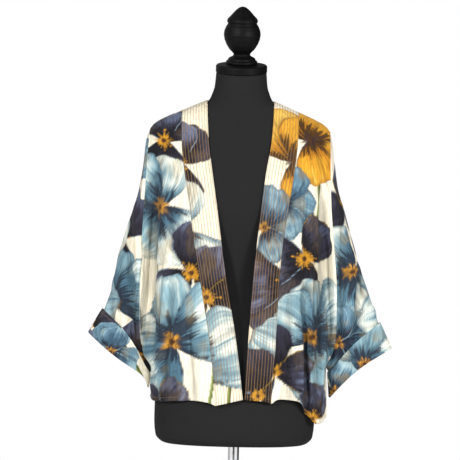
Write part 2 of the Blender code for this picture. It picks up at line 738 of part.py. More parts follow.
def form_solid():
    """The torso, solid, with a blind hole in its underside for the pole."""
    heights = [row[0] for row in FORM]
    points = [(0.0, 0.0, SOCKET_TOP)]
    rings = []
    for height in (SOCKET_TOP, FORM[0, 0]):
        rings.append(len(points))
        for k in range(FORM_SIDES):
            a = 2.0 * math.pi * k / FORM_SIDES
            points.append((SOCKET_RADIUS * math.cos(a), SOCKET_RADIUS * math.sin(a), height))
    for height, width, ahead, behind in FORM:
        rings.append(len(points))
        share = float(fade(height, NECK_STRAIGHT, heights[-1]))
        points += leaning(form_ring(height, width, ahead, behind), share, height).tolist()
    top = len(points)
    points.append((0.0, 0.0, heights[-1]))
    cells = []
    for k in range(FORM_SIDES):
        m = (k + 1) % FORM_SIDES
        cells.append((0, rings[0] + m, rings[0] + k))
        for a, b in zip(rings[:-1], rings[1:]):
            cells.append((a + k, a + m, b + m, b + k))
        cells.append((rings[-1] + k, rings[-1] + m, top))
    return np.array(points), cells


CAP = [(0.0, 413.0), (54.8, 413.0), (56.5, 414.8), (56.5, 427.0), (54.2, 430.0), (33.0, 431.6),
       (0.0, 431.6)]
FINIAL = [(0.0, 432.0), (33.2, 432.0), (34.6, 434.0), (34.6, 437.2), (32.4, 439.6), (30.2, 440.4),
          (30.0, 443.4), (27.4, 445.8), (21.5, 448.4), (18.4, 451.2), (18.4, 454.4), (22.0, 458.6),
          (28.0, 464.5), (34.2, 474.6), (38.9, 486.0), (40.6, 497.0), (39.3, 506.0), (35.6, 514.5),
          (32.0, 520.2), (31.6, 522.4), (33.6, 524.0), (33.8, 528.2), (31.4, 532.4), (25.5, 538.4),
          (17.0, 546.6), (10.5, 552.6), (5.5, 556.8), (0.0, 558.0)]
# Radius and height above the floor.
POLE = [(0.0, 12.4), (POLE_RADIUS, 12.4), (POLE_RADIUS, LEVEL + SOCKET_TOP - 0.4),
        (0.0, LEVEL + SOCKET_TOP - 0.4)]
BASE = [(0.0, 0.0), (148.0, 0.0), (150.0, 2.0), (150.0, 6.5), (147.0, 9.5), (60.0, 12.0),
        (26.0, 14.0), (23.0, 16.0), (22.0, 44.0), (20.0, 46.0), (SOCKET_RADIUS, 46.0),
        (SOCKET_RADIUS, 12.0), (0.0, 12.0)]


def colour(name, value, rough, metal=0.0):
    material = bpy.data.materials.new(name)
    material.use_nodes = True
    shader = material.node_tree.nodes.get("Principled BSDF")
    shader.inputs["Base Color"].default_value = (*value, 1.0)
    shader.inputs["Roughness"].default_value = rough
    shader.inputs["Metallic"].default_value = metal
    material.diffuse_color = (*value, 1.0)
    return material


def add(name, points, cells, material, lift=LEVEL):
    """Make one named solid from points in millimetres."""
    placed = [((x) * MM, y * MM, (z + lift) * MM) for x, y, z in points]
    mesh = bpy.data.meshes.new(name)
    mesh.from_pydata(placed, [], [tuple(int(v) for v in cell) for cell in cells])
    shape = bmesh.new()
    shape.from_mesh(mesh)
    bmesh.ops.triangulate(shape, faces=shape.faces[:])
    bmesh.ops.recalc_face_normals(shape, faces=shape.faces[:])
    shape.to_mesh(mesh)
    shape.free()
    mesh.materials.append(material)
    node = bpy.data.objects.new(name, mesh)
    bpy.context.scene.collection.objects.link(node)
    return node


def main():
    for item in list(bpy.data.objects):
        bpy.data.objects.remove(item, do_unlink=True)
    cream = colour("cream cloth", (0.85, 0.81, 0.72), 0.85)
    blue = colour("blue cloth", (0.28, 0.42, 0.50), 0.85)
    band = colour("band cloth", (0.62, 0.52, 0.38), 0.85)
    jersey = colour("black jersey", (0.03, 0.03, 0.03), 0.8)
    gloss = colour("black lacquer", (0.012, 0.012, 0.012), 0.35)
    chrome = colour("chrome", (0.7, 0.7, 0.72), 0.15, 1.0)

    cloths = {}
    for side, word in ((-1, "right"), (1, "left")):
        cloths[word + "_front"] = (front_cloth(side), False, side < 0)
        cloths[word + "_band"] = (band_cloth(side), False, side < 0)
        cloths[word + "_sleeve"] = (sleeve_cloth(side), True, side < 0)
    cloths["back"] = (back_cloth(), False, True)
    cloths["neck_band"] = (neck_cloth(), False, False)
    normals = shared_normals(cloths)
    for name, (grid, closed, flip) in cloths.items():
        normal, meet = normals[name]
        outer = pull_in(grid, closed)
        inner = outer - (normal * (WALL / meet)[:, None]).reshape(grid.shape)
        points, cells = wall_solid(outer, inner, closed, flip)
        material = band if name.endswith("band") else (blue if "sleeve" in name else cream)
        add(name, points, cells, material)
    for side, word in ((-1, "right"), (1, "left")):
        grid, closed, flip = cloths[word + "_sleeve"]
        normal, meet = normals[word + "_sleeve"]
        rings = CUFF_RINGS + 1
        tail = slice(-rings, None)
        normal = normal.reshape(grid.shape)[tail]
        reach = (1.0 / meet.reshape(grid.shape[:2])[tail])[..., None]
        flare = np.linspace(1.0, 0.0, rings)[:, None, None] * CUFF_FLARE
        cloth = grid[tail].copy()
        cloth[0] += CUFF_START * (cloth[1] - cloth[0])
        inner = cloth + normal * (CUFF_CLEAR + flare) * reach
        outer = inner + normal * CUFF_WALL * reach
        add(word + "_cuff", *wall_solid(outer, inner, True, flip), blue)

    add("form_body", *form_solid(), jersey)
    for name, profile in (("neck_cap", CAP), ("finial", FINIAL)):
        points, cells = lathe(profile)
        add(name, leaning(points), cells, gloss)
    add("pole", *lathe(POLE), chrome, 0.0)
    add("base", *lathe(BASE, 40), gloss, 0.0)


main()
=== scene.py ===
# The looks of the short kimono on its dress form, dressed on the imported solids.
# The cloth follows the same tables as the solids, on much finer grids, in millimetres.
# Heights are measured from the form's waist. Side -1 is the wearer's right, 1 the left.

import math

import bpy
import numpy as np
from mathutils import Matrix


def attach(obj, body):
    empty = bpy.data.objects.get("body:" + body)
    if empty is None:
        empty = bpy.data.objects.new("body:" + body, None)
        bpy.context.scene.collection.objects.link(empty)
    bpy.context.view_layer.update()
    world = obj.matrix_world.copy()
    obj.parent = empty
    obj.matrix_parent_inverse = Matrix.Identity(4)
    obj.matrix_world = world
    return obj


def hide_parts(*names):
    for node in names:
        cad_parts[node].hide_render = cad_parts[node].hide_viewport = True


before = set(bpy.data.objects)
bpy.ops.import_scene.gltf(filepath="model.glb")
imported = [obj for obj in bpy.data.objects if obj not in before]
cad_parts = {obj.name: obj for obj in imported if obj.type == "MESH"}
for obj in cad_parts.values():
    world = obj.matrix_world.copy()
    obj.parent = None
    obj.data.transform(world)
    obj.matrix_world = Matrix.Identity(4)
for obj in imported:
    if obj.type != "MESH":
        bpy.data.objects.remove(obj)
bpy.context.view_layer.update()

MM = 0.001
# Height of the form's waist above the floor.
LEVEL = 679.0
# The faces of the cloth, which are also the tables' columns that hold for them.
FRONT = 1
BACK = 2
# How softly the cloth bends over the shoulder, and where the shoulder ends.
ARCH = 45.0
SHOULDER_TIP = 198.0
# How far in front of the ridge the shoulder seam lies.
SEAM_RUN = 8.0
# How squarely the cloth turns at the side.
SIDE_POWER = 2.6

# How many strips each cloth has.
ARM_ROWS = 230
SIDE_ROWS = 28
FRONT_COLUMNS = 56
NECK_COLUMNS = 96
BAND_COLUMNS = 54
SLEEVE_RINGS = 140
CUFF_RINGS = 24

# Height, half width, depth in front and depth behind of the dress form.
FORM = np.array([
    (-405.0, 140.0, 76.0, 80.0),
    (-403.5, 151.0, 87.0, 91.0),
    (-398.0, 163.0, 98.0, 103.0),
    (-386.0, 172.5, 105.0, 111.0),
    (-350.0, 176.0, 109.0, 117.0),
    (-290.0, 175.0, 110.0, 120.0),
    (-240.0, 167.0, 107.0, 115.0),
    (-180.0, 152.0, 101.0, 104.0),
    (-120.0, 132.0, 92.0, 90.0),
    (-60.0, 117.0, 85.0, 80.0),
    (0.0, 122.0, 92.0, 84.0),
    (60.0, 136.0, 107.0, 94.0),
    (120.0, 150.0, 119.0, 102.0),
    (170.0, 158.0, 115.0, 107.0),
    (220.0, 168.0, 98.0, 105.0),
    (260.0, 181.0, 82.0, 97.0),
    (280.0, 184.5, 74.0, 92.0),
    (291.0, 182.5, 69.5, 87.0),
    (300.5, 176.0, 67.0, 83.0),
    (307.4, 165.0, 65.0, 78.0),
    (314.8, 149.5, 63.0, 73.0),
    (323.2, 129.5, 61.5, 67.5),
    (332.2, 109.5, 60.0, 62.0),
    (340.8, 89.5, 58.5, 59.5),
    (346.4, 75.5, 57.0, 58.5),
    (352.0, 69.0, 56.0, 58.0),
    (358.0, 66.0, 55.5, 57.5),
    (366.0, 63.0, 55.0, 57.0),
    (380.0, 58.5, 54.5, 56.0),
    (412.6, 55.4, 53.4, 53.8),
])
FORM_POWER = 2.2

# Distance from the middle and height of the cloth's ridge over the shoulder.
RIDGE = np.array([
    (0.0, 353.0), (60.0, 353.0), (70.0, 352.0), (78.0, 349.5), (90.0, 344.5), (110.0, 336.0),
    (130.0, 327.0), (150.0, 318.5), (166.0, 311.0), (180.0, 303.5), (190.0, 296.0), (198.0, 286.0),
])

# Height, then how far the cloth hangs from the middle plane at the centre, in front and behind.
HANG = np.array([
    (353.0, 62.0, 60.0), (300.0, 68.0, 88.0), (260.0, 82.0, 102.0), (220.0, 98.0, 110.0),
    (170.0, 114.0, 115.0), (120.0, 122.0, 116.0), (0.0, 124.0, 115.0), (-100.0, 122.0, 116.0),
    (-200.0, 120.0, 125.0), (-290.0, 121.0, 132.0), (-360.0, 123.0, 134.0),
])

# Height and distance from the middle of each side's armhole and side seam.
ARMHOLE = {
    -1: np.array([(286.0, 198.0), (222.0, 201.0), (123.0, 206.0), (18.0, 210.5), (-45.0, 212.0),
                  (-157.0, 210.0), (-205.0, 203.0), (-246.0, 183.5), (-304.0, 185.5), (-370.0, 186.0)]),
    1: np.array([(286.0, 198.0), (222.0, 198.0), (120.0, 202.0), (18.0, 211.0), (-50.0, 217.0),
                 (-154.0, 219.0), (-195.0, 214.0), (-232.0, 200.0), (-290.0, 202.0), (-370.0, 204.0)]),
}
UNDERARM = {-1: -246.0, 1: -232.0}

# Height, then the inner and outer edge of each front band, as positions across.
BAND = {
    -1: np.array([(352.0, -74.0, -129.0), (265.0, -68.5, -127.5), (190.0, -58.5, -119.0),
                  (120.0, -47.6, -107.0), (37.0, -35.8, -94.5), (-47.0, -22.8, -79.5),
                  (-158.0, -2.2, -60.0), (-230.0, 8.5, -50.0), (-298.5, 17.2, -41.5)]),
    1: np.array([(352.0, 74.0, 129.0), (265.0, 69.0, 126.0), (190.0, 57.5, 118.5),
                 (118.0, 49.0, 108.0), (25.0, 39.6, 95.6), (-45.0, 34.0, 90.5),
                 (-186.0, 25.7, 85.5), (-298.5, 20.8, 78.5)]),
}
BAND_FOOT = {-1: (-298.5, -313.0), 1: (-298.5, -307.0)}

# Position across and height of each hem.
HEM = {
    -1: np.array([(-185.5, -304.0), (-173.0, -310.0), (-130.0, -306.0), (-87.0, -303.5),
                  (-60.0, -306.0), (-41.5, -313.0)]),
    1: np.array([(78.5, -307.0), (95.0, -297.0), (120.0, -298.5), (136.0, -301.0), (148.0, -314.0),
                 (159.0, -332.0), (180.0, -352.0), (194.0, -349.0), (203.5, -341.0)]),
}
BACK_HEM = np.array([(-185.5, -304.0), (-120.0, -309.0), (0.0, -308.0), (100.0, -311.0),
                     (150.0, -324.0), (180.0, -340.0), (203.5, -341.0)])

# The deep valley beside each armhole: height, position across, depth and half width.
VALLEY = {
    -1: np.array([(190.0, 184.0, 0.0, 12.0), (110.0, 184.0, 12.0, 12.0), (40.0, 187.0, 30.0, 12.0),
                  (-72.0, 192.0, 38.0, 12.0), (-140.0, 195.0, 30.0, 11.0), (-190.0, 193.0, 10.0, 10.0),
                  (-238.0, 186.0, 0.0, 10.0)]),
    1: np.array([(200.0, 180.0, 0.0, 11.0), (120.0, 184.0, 14.0, 11.0), (30.0, 191.0, 26.0, 10.0),
                 (-50.0, 197.0, 34.0, 10.0), (-120.0, 202.0, 27.0, 10.0), (-175.0, 201.0, 9.0, 10.0),
                 (-225.0, 196.0, 0.0, 10.0)]),
}

# Soft folds of the body: side of the body, position across at the top and foot,
# height of the top and foot, how far it stands out, and half width.
FOLDS = [
    # face, x_top, x_foot, top, foot, out, half_width
    (FRONT, -140.0, -150.0, 230.0, -300.0, 6.0, 13.0),
    (FRONT, -112.0, -105.0, 60.0, -310.0, -5.0, 12.0),
    (FRONT, 150.0, 128.0, 210.0, -300.0, 6.0, 13.0),
    (FRONT, 140.0, 160.0, -40.0, -350.0, -9.0, 9.0),
    (FRONT, 166.0, 181.0, -60.0, -350.0, 6.0, 8.0),
    (BACK, -150.0, -140.0, 240.0, -310.0, 7.0, 15.0),
    (BACK, -95.0, -80.0, 120.0, -310.0, 8.0, 16.0),
    (BACK, -30.0, -15.0, 60.0, -310.0, 6.0, 15.0),
    (BACK, 40.0, 52.0, 80.0, -310.0, 8.0, 16.0),
    (BACK, 105.0, 112.0, 130.0, -320.0, 7.0, 15.0),
    (BACK, 158.0, 165.0, 240.0, -330.0, 6.0, 12.0),
]

# Outer edge of each sleeve down to the cuff's top, from the shoulder: position across, height.
SLEEVE_OUTER = {
    -1: np.array([(198.0, 286.0), (207.0, 258.0), (212.0, 207.0), (220.0, 154.0), (234.0, 101.0),
                  (249.0, 48.0), (263.0, -5.0), (273.0, -58.0), (291.0, -114.0)]),
    1: np.array([(198.0, 286.0), (203.5, 262.0), (210.0, 216.0), (218.0, 163.0), (234.0, 111.0),
                 (249.0, 58.0), (264.0, 5.0), (283.0, -47.0), (313.0, -132.0)]),
}
# The cuff's corners: top outer, top inner, foot outer and foot inner, how far the edges bow up,
# and how far the foot's bow leans toward the underarm (1 is in the middle).
CUFF = {
    -1: {"top_out": (291.0, -114.0), "top_in": (189.5, -255.0), "foot_out": (323.0, -166.0),
         "foot_in": (190.5, -283.0), "bow_top": 13.0, "bow_foot": 11.0, "lean": 3.4},
    1: {"top_out": (313.0, -132.0), "top_in": (207.0, -243.0), "foot_out": (341.0, -188.0),
        "foot_in": (209.0, -297.0), "bow_top": 8.0, "bow_foot": 10.0, "lean": 1.0},
}
# Half depth of the cuff at its top and foot. The turned-back cuff stands clear of the sleeve by a
# little at its foot and more at its free top edge, and starts a share of a strip below the sleeve's
# last ring.
CUFF_DEPTH_TOP = 26.0
CUFF_DEPTH_FOOT = 21.0
CUFF_CLEAR = 0.4
CUFF_FLARE = 2.4
CUFF_START = 0.12

# Soft folds of a sleeve: how far round the ring (in turns of pi, front above nought),
# how far it stands out, half width in the same turns, and where along the sleeve it is deepest.
SLEEVE_FOLDS = [
    # around, out, half_width, along
    (0.62, -9.0, 0.055, 0.55),
    (0.50, 6.0, 0.06, 0.60),
    (0.36, -5.0, 0.05, 0.70),
    (-0.60, -8.0, 0.06, 0.55),
    (-0.45, 6.0, 0.06, 0.60),
    (-0.30, -4.0, 0.05, 0.70),
]

# The neck's top is cut on a slant, lower in front, and the cap and the finial lean with it.
NECK_LEAN = math.radians(12.0)
NECK_TOP = 413.0
NECK_STRAIGHT = 358.0

# Radius and height of the turned pieces, from their foot up. The pole and base stand on the floor.
POLE_RADIUS = 12.2
SOCKET_RADIUS = 12.6
SOCKET_TOP = -350.0
CAP = [(0.0, 413.0), (54.8, 413.0), (56.5, 414.8), (56.5, 427.0), (54.2, 430.0), (33.0, 431.6),
       (0.0, 431.6)]
FINIAL = [(0.0, 432.0), (33.2, 432.0), (34.6, 434.0), (34.6, 437.2), (32.4, 439.6), (30.2, 440.4),
          (30.0, 443.4), (27.4, 445.8), (21.5, 448.4), (18.4, 451.2), (18.4, 454.4), (22.0, 458.6),
          (28.0, 464.5), (34.2, 474.6), (38.9, 486.0), (40.6, 497.0), (39.3, 506.0), (35.6, 514.5),
          (32.0, 520.2), (31.6, 522.4), (33.6, 524.0), (33.8, 528.2), (31.4, 532.4), (25.5, 538.4),
          (18.0, 547.2), (12.6, 552.4), (7.4, 556.2), (3.4, 557.7), (0.0, 558.0)]
POLE = [(0.0, 12.4), (POLE_RADIUS, 12.4), (POLE_RADIUS, LEVEL + SOCKET_TOP - 0.4),
        (0.0, LEVEL + SOCKET_TOP - 0.4)]
BASE = [(0.0, 0.0), (148.0, 0.0), (150.0, 2.0), (150.0, 6.5), (147.0, 9.5), (60.0, 12.0),
        (26.0, 14.0), (23.0, 16.0), (22.0, 44.0), (20.0, 46.0), (SOCKET_RADIUS, 46.0),
        (SOCKET_RADIUS, 12.0), (0.0, 12.0)]

# The grid on which the form's hang is worked out, the room that cloth keeps from the form, and the
# neck, on which no cloth hangs.
GRID_STEP = 2.0
GRID_ACROSS = np.arange(0.0, 202.0, GRID_STEP)
GRID_DOWN = np.arange(364.0, -400.0, -GRID_STEP)
ROOM_BELOW = 3.0
ROOM_OUT = 3.0
SHOULDER_TOP = 353.0
NECK_FOOT = 356.0
NECK_HALF = 74.0

# Half depth of the armhole, how far behind the ridge the back neck seam runs, and how far back and
# how high the neck band's inner edge stands.
ARMHOLE_DEPTH = 58.0
NECK_SEAM_BACK = 90.0
NECK_BAND_BACK = 68.0
NECK_BAND_TOP = 354.0
# The shoulder seam lies 0.7 mm down from the top of a ring about 530 mm high.
RING_START = math.acos(1.0 - 2.0 * 0.7 / 530.0)
# How far a sleeve swells between the armhole and the cuff.
SLEEVE_BELLY = 9.0


def smooth(at, knots, values):
    """A smooth curve through a short table that never runs past its own values."""
    order = np.argsort(knots)
    knot = np.asarray(knots, float)[order]
    value = np.asarray(values, float)[order]
    step = np.diff(knot)
    slope = np.diff(value) / step
    tangent = np.zeros(len(knot))
    tangent[0] = slope[0]
    tangent[-1] = slope[-1]
    for i in range(1, len(knot) - 1):
        if slope[i - 1] * slope[i] > 0.0:
            before = 2.0 * step[i] + step[i - 1]
            after = step[i] + 2.0 * step[i - 1]
            tangent[i] = (before + after) / (before / slope[i - 1] + after / slope[i])
    place = np.clip(np.asarray(at, float), knot[0], knot[-1])
    cell = np.clip(np.searchsorted(knot, place, side="right") - 1, 0, len(step) - 1)
    t = (place - knot[cell]) / step[cell]
    h00 = (1.0 + 2.0 * t) * (1.0 - t) ** 2
    h10 = t * (1.0 - t) ** 2
    h01 = t * t * (3.0 - 2.0 * t)
    h11 = t * t * (t - 1.0)
    rise = h10 * tangent[cell] + h11 * tangent[cell + 1]
    return h00 * value[cell] + h01 * value[cell + 1] + step[cell] * rise


def fade(value, low, high):
    """Nought below low, one above high, smooth between."""
    t = np.clip((value - low) / (high - low), 0.0, 1.0)
    return t * t * (3.0 - 2.0 * t)


def even(share):
    """Places round a ring, closer together at the shoulder and the underarm."""
    part = 0.35 * share + 0.65 * 0.5 * (1.0 - np.cos(math.pi * share))
    return np.arccos(1.0 - 2.0 * part) / math.pi


def ridge(across):
    """Height of the cloth over the shoulder at a place across."""
    return smooth(np.minimum(np.abs(across), SHOULDER_TIP), RIDGE[:, 0], RIDGE[:, 1])


def form_depth(across, height, face, wider=0.0, deeper=0.0):
    """Half depth of the form at a place across and a height, or nought outside it."""
    width = smooth(height, FORM[:, 0], FORM[:, 1]) + wider
    deep = smooth(height, FORM[:, 0], FORM[:, 1 + face]) + deeper
    inside = np.clip(1.0 - (np.abs(across) / width) ** FORM_POWER, 0.0, 1.0)
    inside = np.where(height > FORM[-1, 0], 0.0, inside)
    return deep * inside ** (1.0 / FORM_POWER)


def form_with_room(across, height, face):
    """The form's half depth just below a height, with room round it that grows below the shoulder."""
    wider = 1.0 + 2.0 * (1.0 - fade(height, 270.0, 300.0))
    return form_depth(across, height - ROOM_BELOW, face, wider, ROOM_OUT)


def hang_grid(face):
    """Deepest place of the form above each height, since cloth hangs straight down from it."""
    across, height = np.meshgrid(GRID_ACROSS, GRID_DOWN)
    deep = np.where(height > SHOULDER_TOP, 0.0, form_with_room(across, height, face))
    return np.maximum.accumulate(deep, axis=0)


HANG_GRID = {FRONT: hang_grid(FRONT), BACK: hang_grid(BACK)}


def form_hang(across, height, face):
    """How far cloth stands off that hangs from the form: the grid, read between its points, or the
    form at the height itself where that stands out further."""
    a = np.clip(np.abs(across) / GRID_STEP, 0.0, len(GRID_ACROSS) - 1.001)
    b = np.clip((GRID_DOWN[0] - height) / GRID_STEP, 0.0, len(GRID_DOWN) - 1.001)
    i = a.astype(int)
    j = b.astype(int)
    u = a - i
    v = b - j
    grid = HANG_GRID[face]
    upper = grid[j, i] * (1.0 - u) + grid[j, i + 1] * u
    lower = grid[j + 1, i] * (1.0 - u) + grid[j + 1, i + 1] * u
    at_neck = (np.abs(across) < NECK_HALF) & (height > NECK_FOOT)
    here = np.where(at_neck, 0.0, form_with_room(across, height, face))
    return np.maximum(upper * (1.0 - v) + lower * v, here)


def edge_across(height, side):
    """How far from the middle the armhole and the side seam lie at a height."""
    return smooth(height, ARMHOLE[side][:, 0], ARMHOLE[side][:, 1])


def edge_depth(share):
    """Half depth of the armhole, rounded at the shoulder (share 0) and at the underarm (share 1)."""
    top = 1.0 - np.clip(1.0 - share / 0.2, 0.0, 1.0) ** 2
    foot = 1.0 - np.clip((share - 0.5) / 0.5, 0.0, 1.0) ** 2
    return ARMHOLE_DEPTH * np.sqrt(top) * np.sqrt(foot)


def side_depth(across, height, top, face, side):
    """Depth of one side's cloth and how near its side edge it lies: a lens that goes from the middle's
    depth to the armhole's, thinner toward the ridge, with the front's deep valley pressed into it."""
    fall = np.maximum(top - height, 0.0)
    share = fall / (top - UNDERARM[side])
    edge = edge_depth(np.clip(share, 0.0, 1.0))
    centre = smooth(height, HANG[:, 0], HANG[:, face])
    reach = np.clip(np.abs(across) / edge_across(height, side), 0.0, 1.0)
    power = 1.0 / (1.1 + 0.75 * (1.0 - fade(height, -250.0, -150.0)))
    lens = (1.0 - reach ** SIDE_POWER) ** power
    arch = np.sqrt(1.0 - (1.0 - np.clip(fall / 100.0, 0.0, 1.0)) ** 2)
    deep = edge + (centre - edge) * lens * arch
    if face == FRONT:
        table = VALLEY[side]
        middle = smooth(height, table[:, 0], table[:, 1])
        low = smooth(height, table[:, 0], table[:, 2])
        half = smooth(height, table[:, 0], table[:, 3])
        deep = deep - low * np.exp(-(((np.abs(across) - middle) / half) ** 2))
    return deep, reach


def body_depth(across, height, top, face):
    """Distance of the body's cloth from the middle plane, in front or behind."""
    right, reach_right = side_depth(across, height, top, face, -1)
    left, reach_left = side_depth(across, height, top, face, 1)
    deep = np.where(across < 0.0, right, left)
    reach = np.where(across < 0.0, reach_right, reach_left)
    for face_of, x_top, x_foot, high, foot, out, half in FOLDS:
        if face_of != face:
            continue
        along = np.clip((high - height) / (high - foot), 0.0, 1.0)
        middle = x_top + (x_foot - x_top) * along
        swell = out * fade(along, 0.0, 0.6) * (1.0 - fade(reach, 0.86, 0.99))
        deep = deep + swell * np.exp(-(((across - middle) / half) ** 2))
    held = form_hang(across, height, face)
    # Cloth and form blend over a few millimetres where they meet, and just under the ridge the
    # cloth is no deeper than a round bend allows.
    soft = 5.0 * fade(top - height, 4.0, 60.0)
    both = 0.5 * (deep + held + np.sqrt((deep - held) ** 2 + soft ** 2))
    both = np.where(reach > 0.999, deep, both)
    fall = np.maximum(top - height, 0.0)
    return np.minimum(both, np.sqrt(250.0 * fall + fall * fall))


def height_at(across, run):
    """Height of the cloth at a run over the shoulder: it falls from the ridge in a rounded bend."""
    return ridge(across) - (np.sqrt(run * run + ARCH * ARCH) - ARCH)


def body_point(across, run):
    """Point of the body's cloth; run goes over the shoulder and is above nought in front."""
    across = np.asarray(across, float)
    run = np.asarray(run, float)
    top = ridge(across)
    height = height_at(across, run)
    ahead = -body_depth(across, height, top, FRONT)
    behind = body_depth(across, height, top, BACK)
    return np.stack([across, np.where(run >= 0.0, ahead, behind), height], -1)


def run_at(across, height):
    """How far over the shoulder a height lies, for a place across."""
    fall = np.maximum(ridge(across) - height, 0.0)
    return np.sqrt((fall + ARCH) ** 2 - ARCH * ARCH)


def patch(top, foot, left, right, down=None):
    """Fill the space between four edges: each pair blended across, less the corners counted twice."""
    columns = len(top)
    rows = len(left)
    across = np.linspace(0.0, 1.0, columns)[:, None, None]
    down = np.linspace(0.0, 1.0, rows) if down is None else down
    down = down[None, :, None]
    corners = ((1 - across) * (1 - down) * top[0] + across * (1 - down) * top[-1]
               + (1 - across) * down * foot[0] + across * down * foot[-1])
    sides = (1 - across) * left[None, :, :] + across * right[None, :, :]
    ends = (1 - down) * top[:, None, :] + down * foot[:, None, :]
    return sides + ends - corners


def ring_angles(face):
    """Angles down the armhole from the shoulder seam to the underarm, in front or behind. Behind,
    they start below nought, because the seam lies in front of the ridge."""
    start = RING_START if face == FRONT else -RING_START
    return start + (math.pi - start) * even(np.linspace(0.0, 1.0, ARM_ROWS + 1))


def armhole_line(side, face):
    """The armhole and the side seam as places across and runs."""
    angle = ring_angles(face)
    if face == BACK:
        angle[1:] = np.maximum(angle[1:], 0.02)
    share = 0.5 * (1.0 - np.cos(angle))
    tip = ridge(SHOULDER_TIP)
    height = tip + (UNDERARM[side] - tip) * share
    hem = HEM[side][-1, 1] if side > 0 else HEM[side][0, 1]
    below = UNDERARM[side] + (hem - UNDERARM[side]) * np.linspace(0.0, 1.0, SIDE_ROWS + 1)[1:]
    height = np.concatenate([height, below])
    across = edge_across(height, side)
    run = run_at(across, height) * (1.0 if face == FRONT else -1.0)
    run[0] = SEAM_RUN
    across[0] = SHOULDER_TIP
    return np.stack([side * across, run], -1)


def column_share(count):
    """Places across a front, closer together toward the side."""
    part = np.linspace(0.0, 1.0, count + 1)
    return 0.62 * np.sin(part * math.pi / 2.0) + 0.38 * part


def shoulder_line(side):
    """The shoulder seam from the band to the armhole."""
    inner = abs(BAND[side][0, 2])
    across = inner + (SHOULDER_TIP - inner) * column_share(FRONT_COLUMNS)
    return np.stack([side * across, np.full(len(across), SEAM_RUN)], -1)


def row_share():
    """How far down each row of a front is."""
    line = armhole_line(1, FRONT)
    run = line[:, 1]
    return (run - run[0]) / (run[-1] - run[0])


def band_edge(side, column, height):
    """Place across of the band's inner (1) or outer (2) edge at a height."""
    return smooth(height, BAND[side][:, 0], BAND[side][:, column])


def band_line(side, column):
    """The band's inner (1) or outer (2) edge as places across and runs. Each place is found by going
    back and forth between it and its height until they agree."""
    start = BAND[side][0, column]
    foot = BAND_FOOT[side][column - 1]
    last = run_at(band_edge(side, column, foot), foot)
    run = SEAM_RUN + (last - SEAM_RUN) * row_share()
    across = np.full(len(run), start)
    for _ in range(12):
        across = band_edge(side, column, height_at(across, run))
    across[0] = start
    return np.stack([across, run], -1)


def hem_line(side):
    """The front hem from the band to the side seam."""
    inner = band_line(side, 2)[-1, 0]
    outer = armhole_line(side, FRONT)[-1, 0]
    across = inner + (outer - inner) * column_share(FRONT_COLUMNS)
    height = smooth(across, HEM[side][:, 0], HEM[side][:, 1])
    return np.stack([across, run_at(across, height)], -1)


def front_cloth(side):
    """A front, filled between the shoulder seam, the hem, the band and the armhole."""
    flat = patch(shoulder_line(side), hem_line(side), band_line(side, 2), armhole_line(side, FRONT),
                 row_share())
    return body_point(flat[..., 0], flat[..., 1])


def band_cloth(side):
    """A front band, filled between its inner and outer edges."""
    inner = band_line(side, 1)
    outer = band_line(side, 2)
    across = np.linspace(0.0, 1.0, BAND_COLUMNS + 1)[:, None]
    top = inner[0] + (outer[0] - inner[0]) * across
    foot = inner[-1] + (outer[-1] - inner[-1]) * across
    flat = patch(top, foot, inner, outer, row_share())
    return body_point(flat[..., 0], flat[..., 1])


def neck_line():
    """The back neck seam from the wearer's right shoulder to the left, as places across and runs."""
    turn = np.linspace(-1.0, 1.0, NECK_COLUMNS + 1) * math.pi / 2.0
    across = abs(BAND[1][0, 2]) * np.sin(turn)
    run = SEAM_RUN - (SEAM_RUN + NECK_SEAM_BACK) * np.cos(turn)
    return np.stack([across, run], -1)


def back_cloth():
    """The back, filled between both shoulder seams with the neck seam, the hem and both side edges."""
    right = shoulder_line(-1)[::-1]
    left = shoulder_line(1)
    top = np.concatenate([right, neck_line()[1:-1], left])
    edge_right = armhole_line(-1, BACK)
    edge_left = armhole_line(1, BACK)
    half = column_share(len(top) // 2)
    across = np.concatenate([edge_right[-1, 0] * half[::-1], edge_left[-1, 0] * half[1:]])
    height = smooth(across, BACK_HEM[:, 0], BACK_HEM[:, 1])
    foot = np.stack([across, -run_at(across, height)], -1)
    foot[0] = edge_right[-1]
    foot[-1] = edge_left[-1]
    run_right = edge_right[:, 1]
    down = (run_right - run_right[0]) / (run_right[-1] - run_right[0])
    flat = patch(top, foot, edge_right, edge_left, down)
    return body_point(flat[..., 0], flat[..., 1])


def neck_cloth():
    """The band round the back of the neck: its inner edge stands behind the neck in a half round, and
    the cloth fills the space between that edge, the back neck seam and the front bands' ends."""
    seam = neck_line()
    outer = body_point(seam[:, 0], seam[:, 1])
    ends = []
    for side in (-1, 1):
        line = np.linspace(BAND[side][0, 1], BAND[side][0, 2], BAND_COLUMNS + 1)
        ends.append(body_point(line, np.full(len(line), SEAM_RUN)))
    start = ends[0][0]
    turn = np.linspace(-1.0, 1.0, NECK_COLUMNS + 1) * math.pi / 2.0
    swing = np.maximum(np.cos(turn), 0.0) ** 0.85
    inner = np.stack([
        abs(BAND[1][0, 1]) * np.sin(turn),
        start[1] + (NECK_BAND_BACK - start[1]) * swing,
        start[2] + (NECK_BAND_TOP - start[2]) * swing,
    ], -1)
    inner[0] = start
    inner[-1] = ends[1][0]
    return patch(ends[0], ends[1], inner, outer)


def ring_start(side):
    """The armhole ring: front from the shoulder seam down, then the back from the underarm up."""
    ahead = armhole_line(side, FRONT)[: ARM_ROWS + 1]
    behind = armhole_line(side, BACK)[: ARM_ROWS + 1]
    front = body_point(ahead[:, 0], ahead[:, 1])
    back = body_point(behind[:, 0], behind[:, 1])
    return np.concatenate([front, back[-2:0:-1]])


def ring_turns():
    """Angle of each point of a ring; the front counts above nought, the back below."""
    return np.concatenate([ring_angles(FRONT), -ring_angles(BACK)[-2:0:-1]])


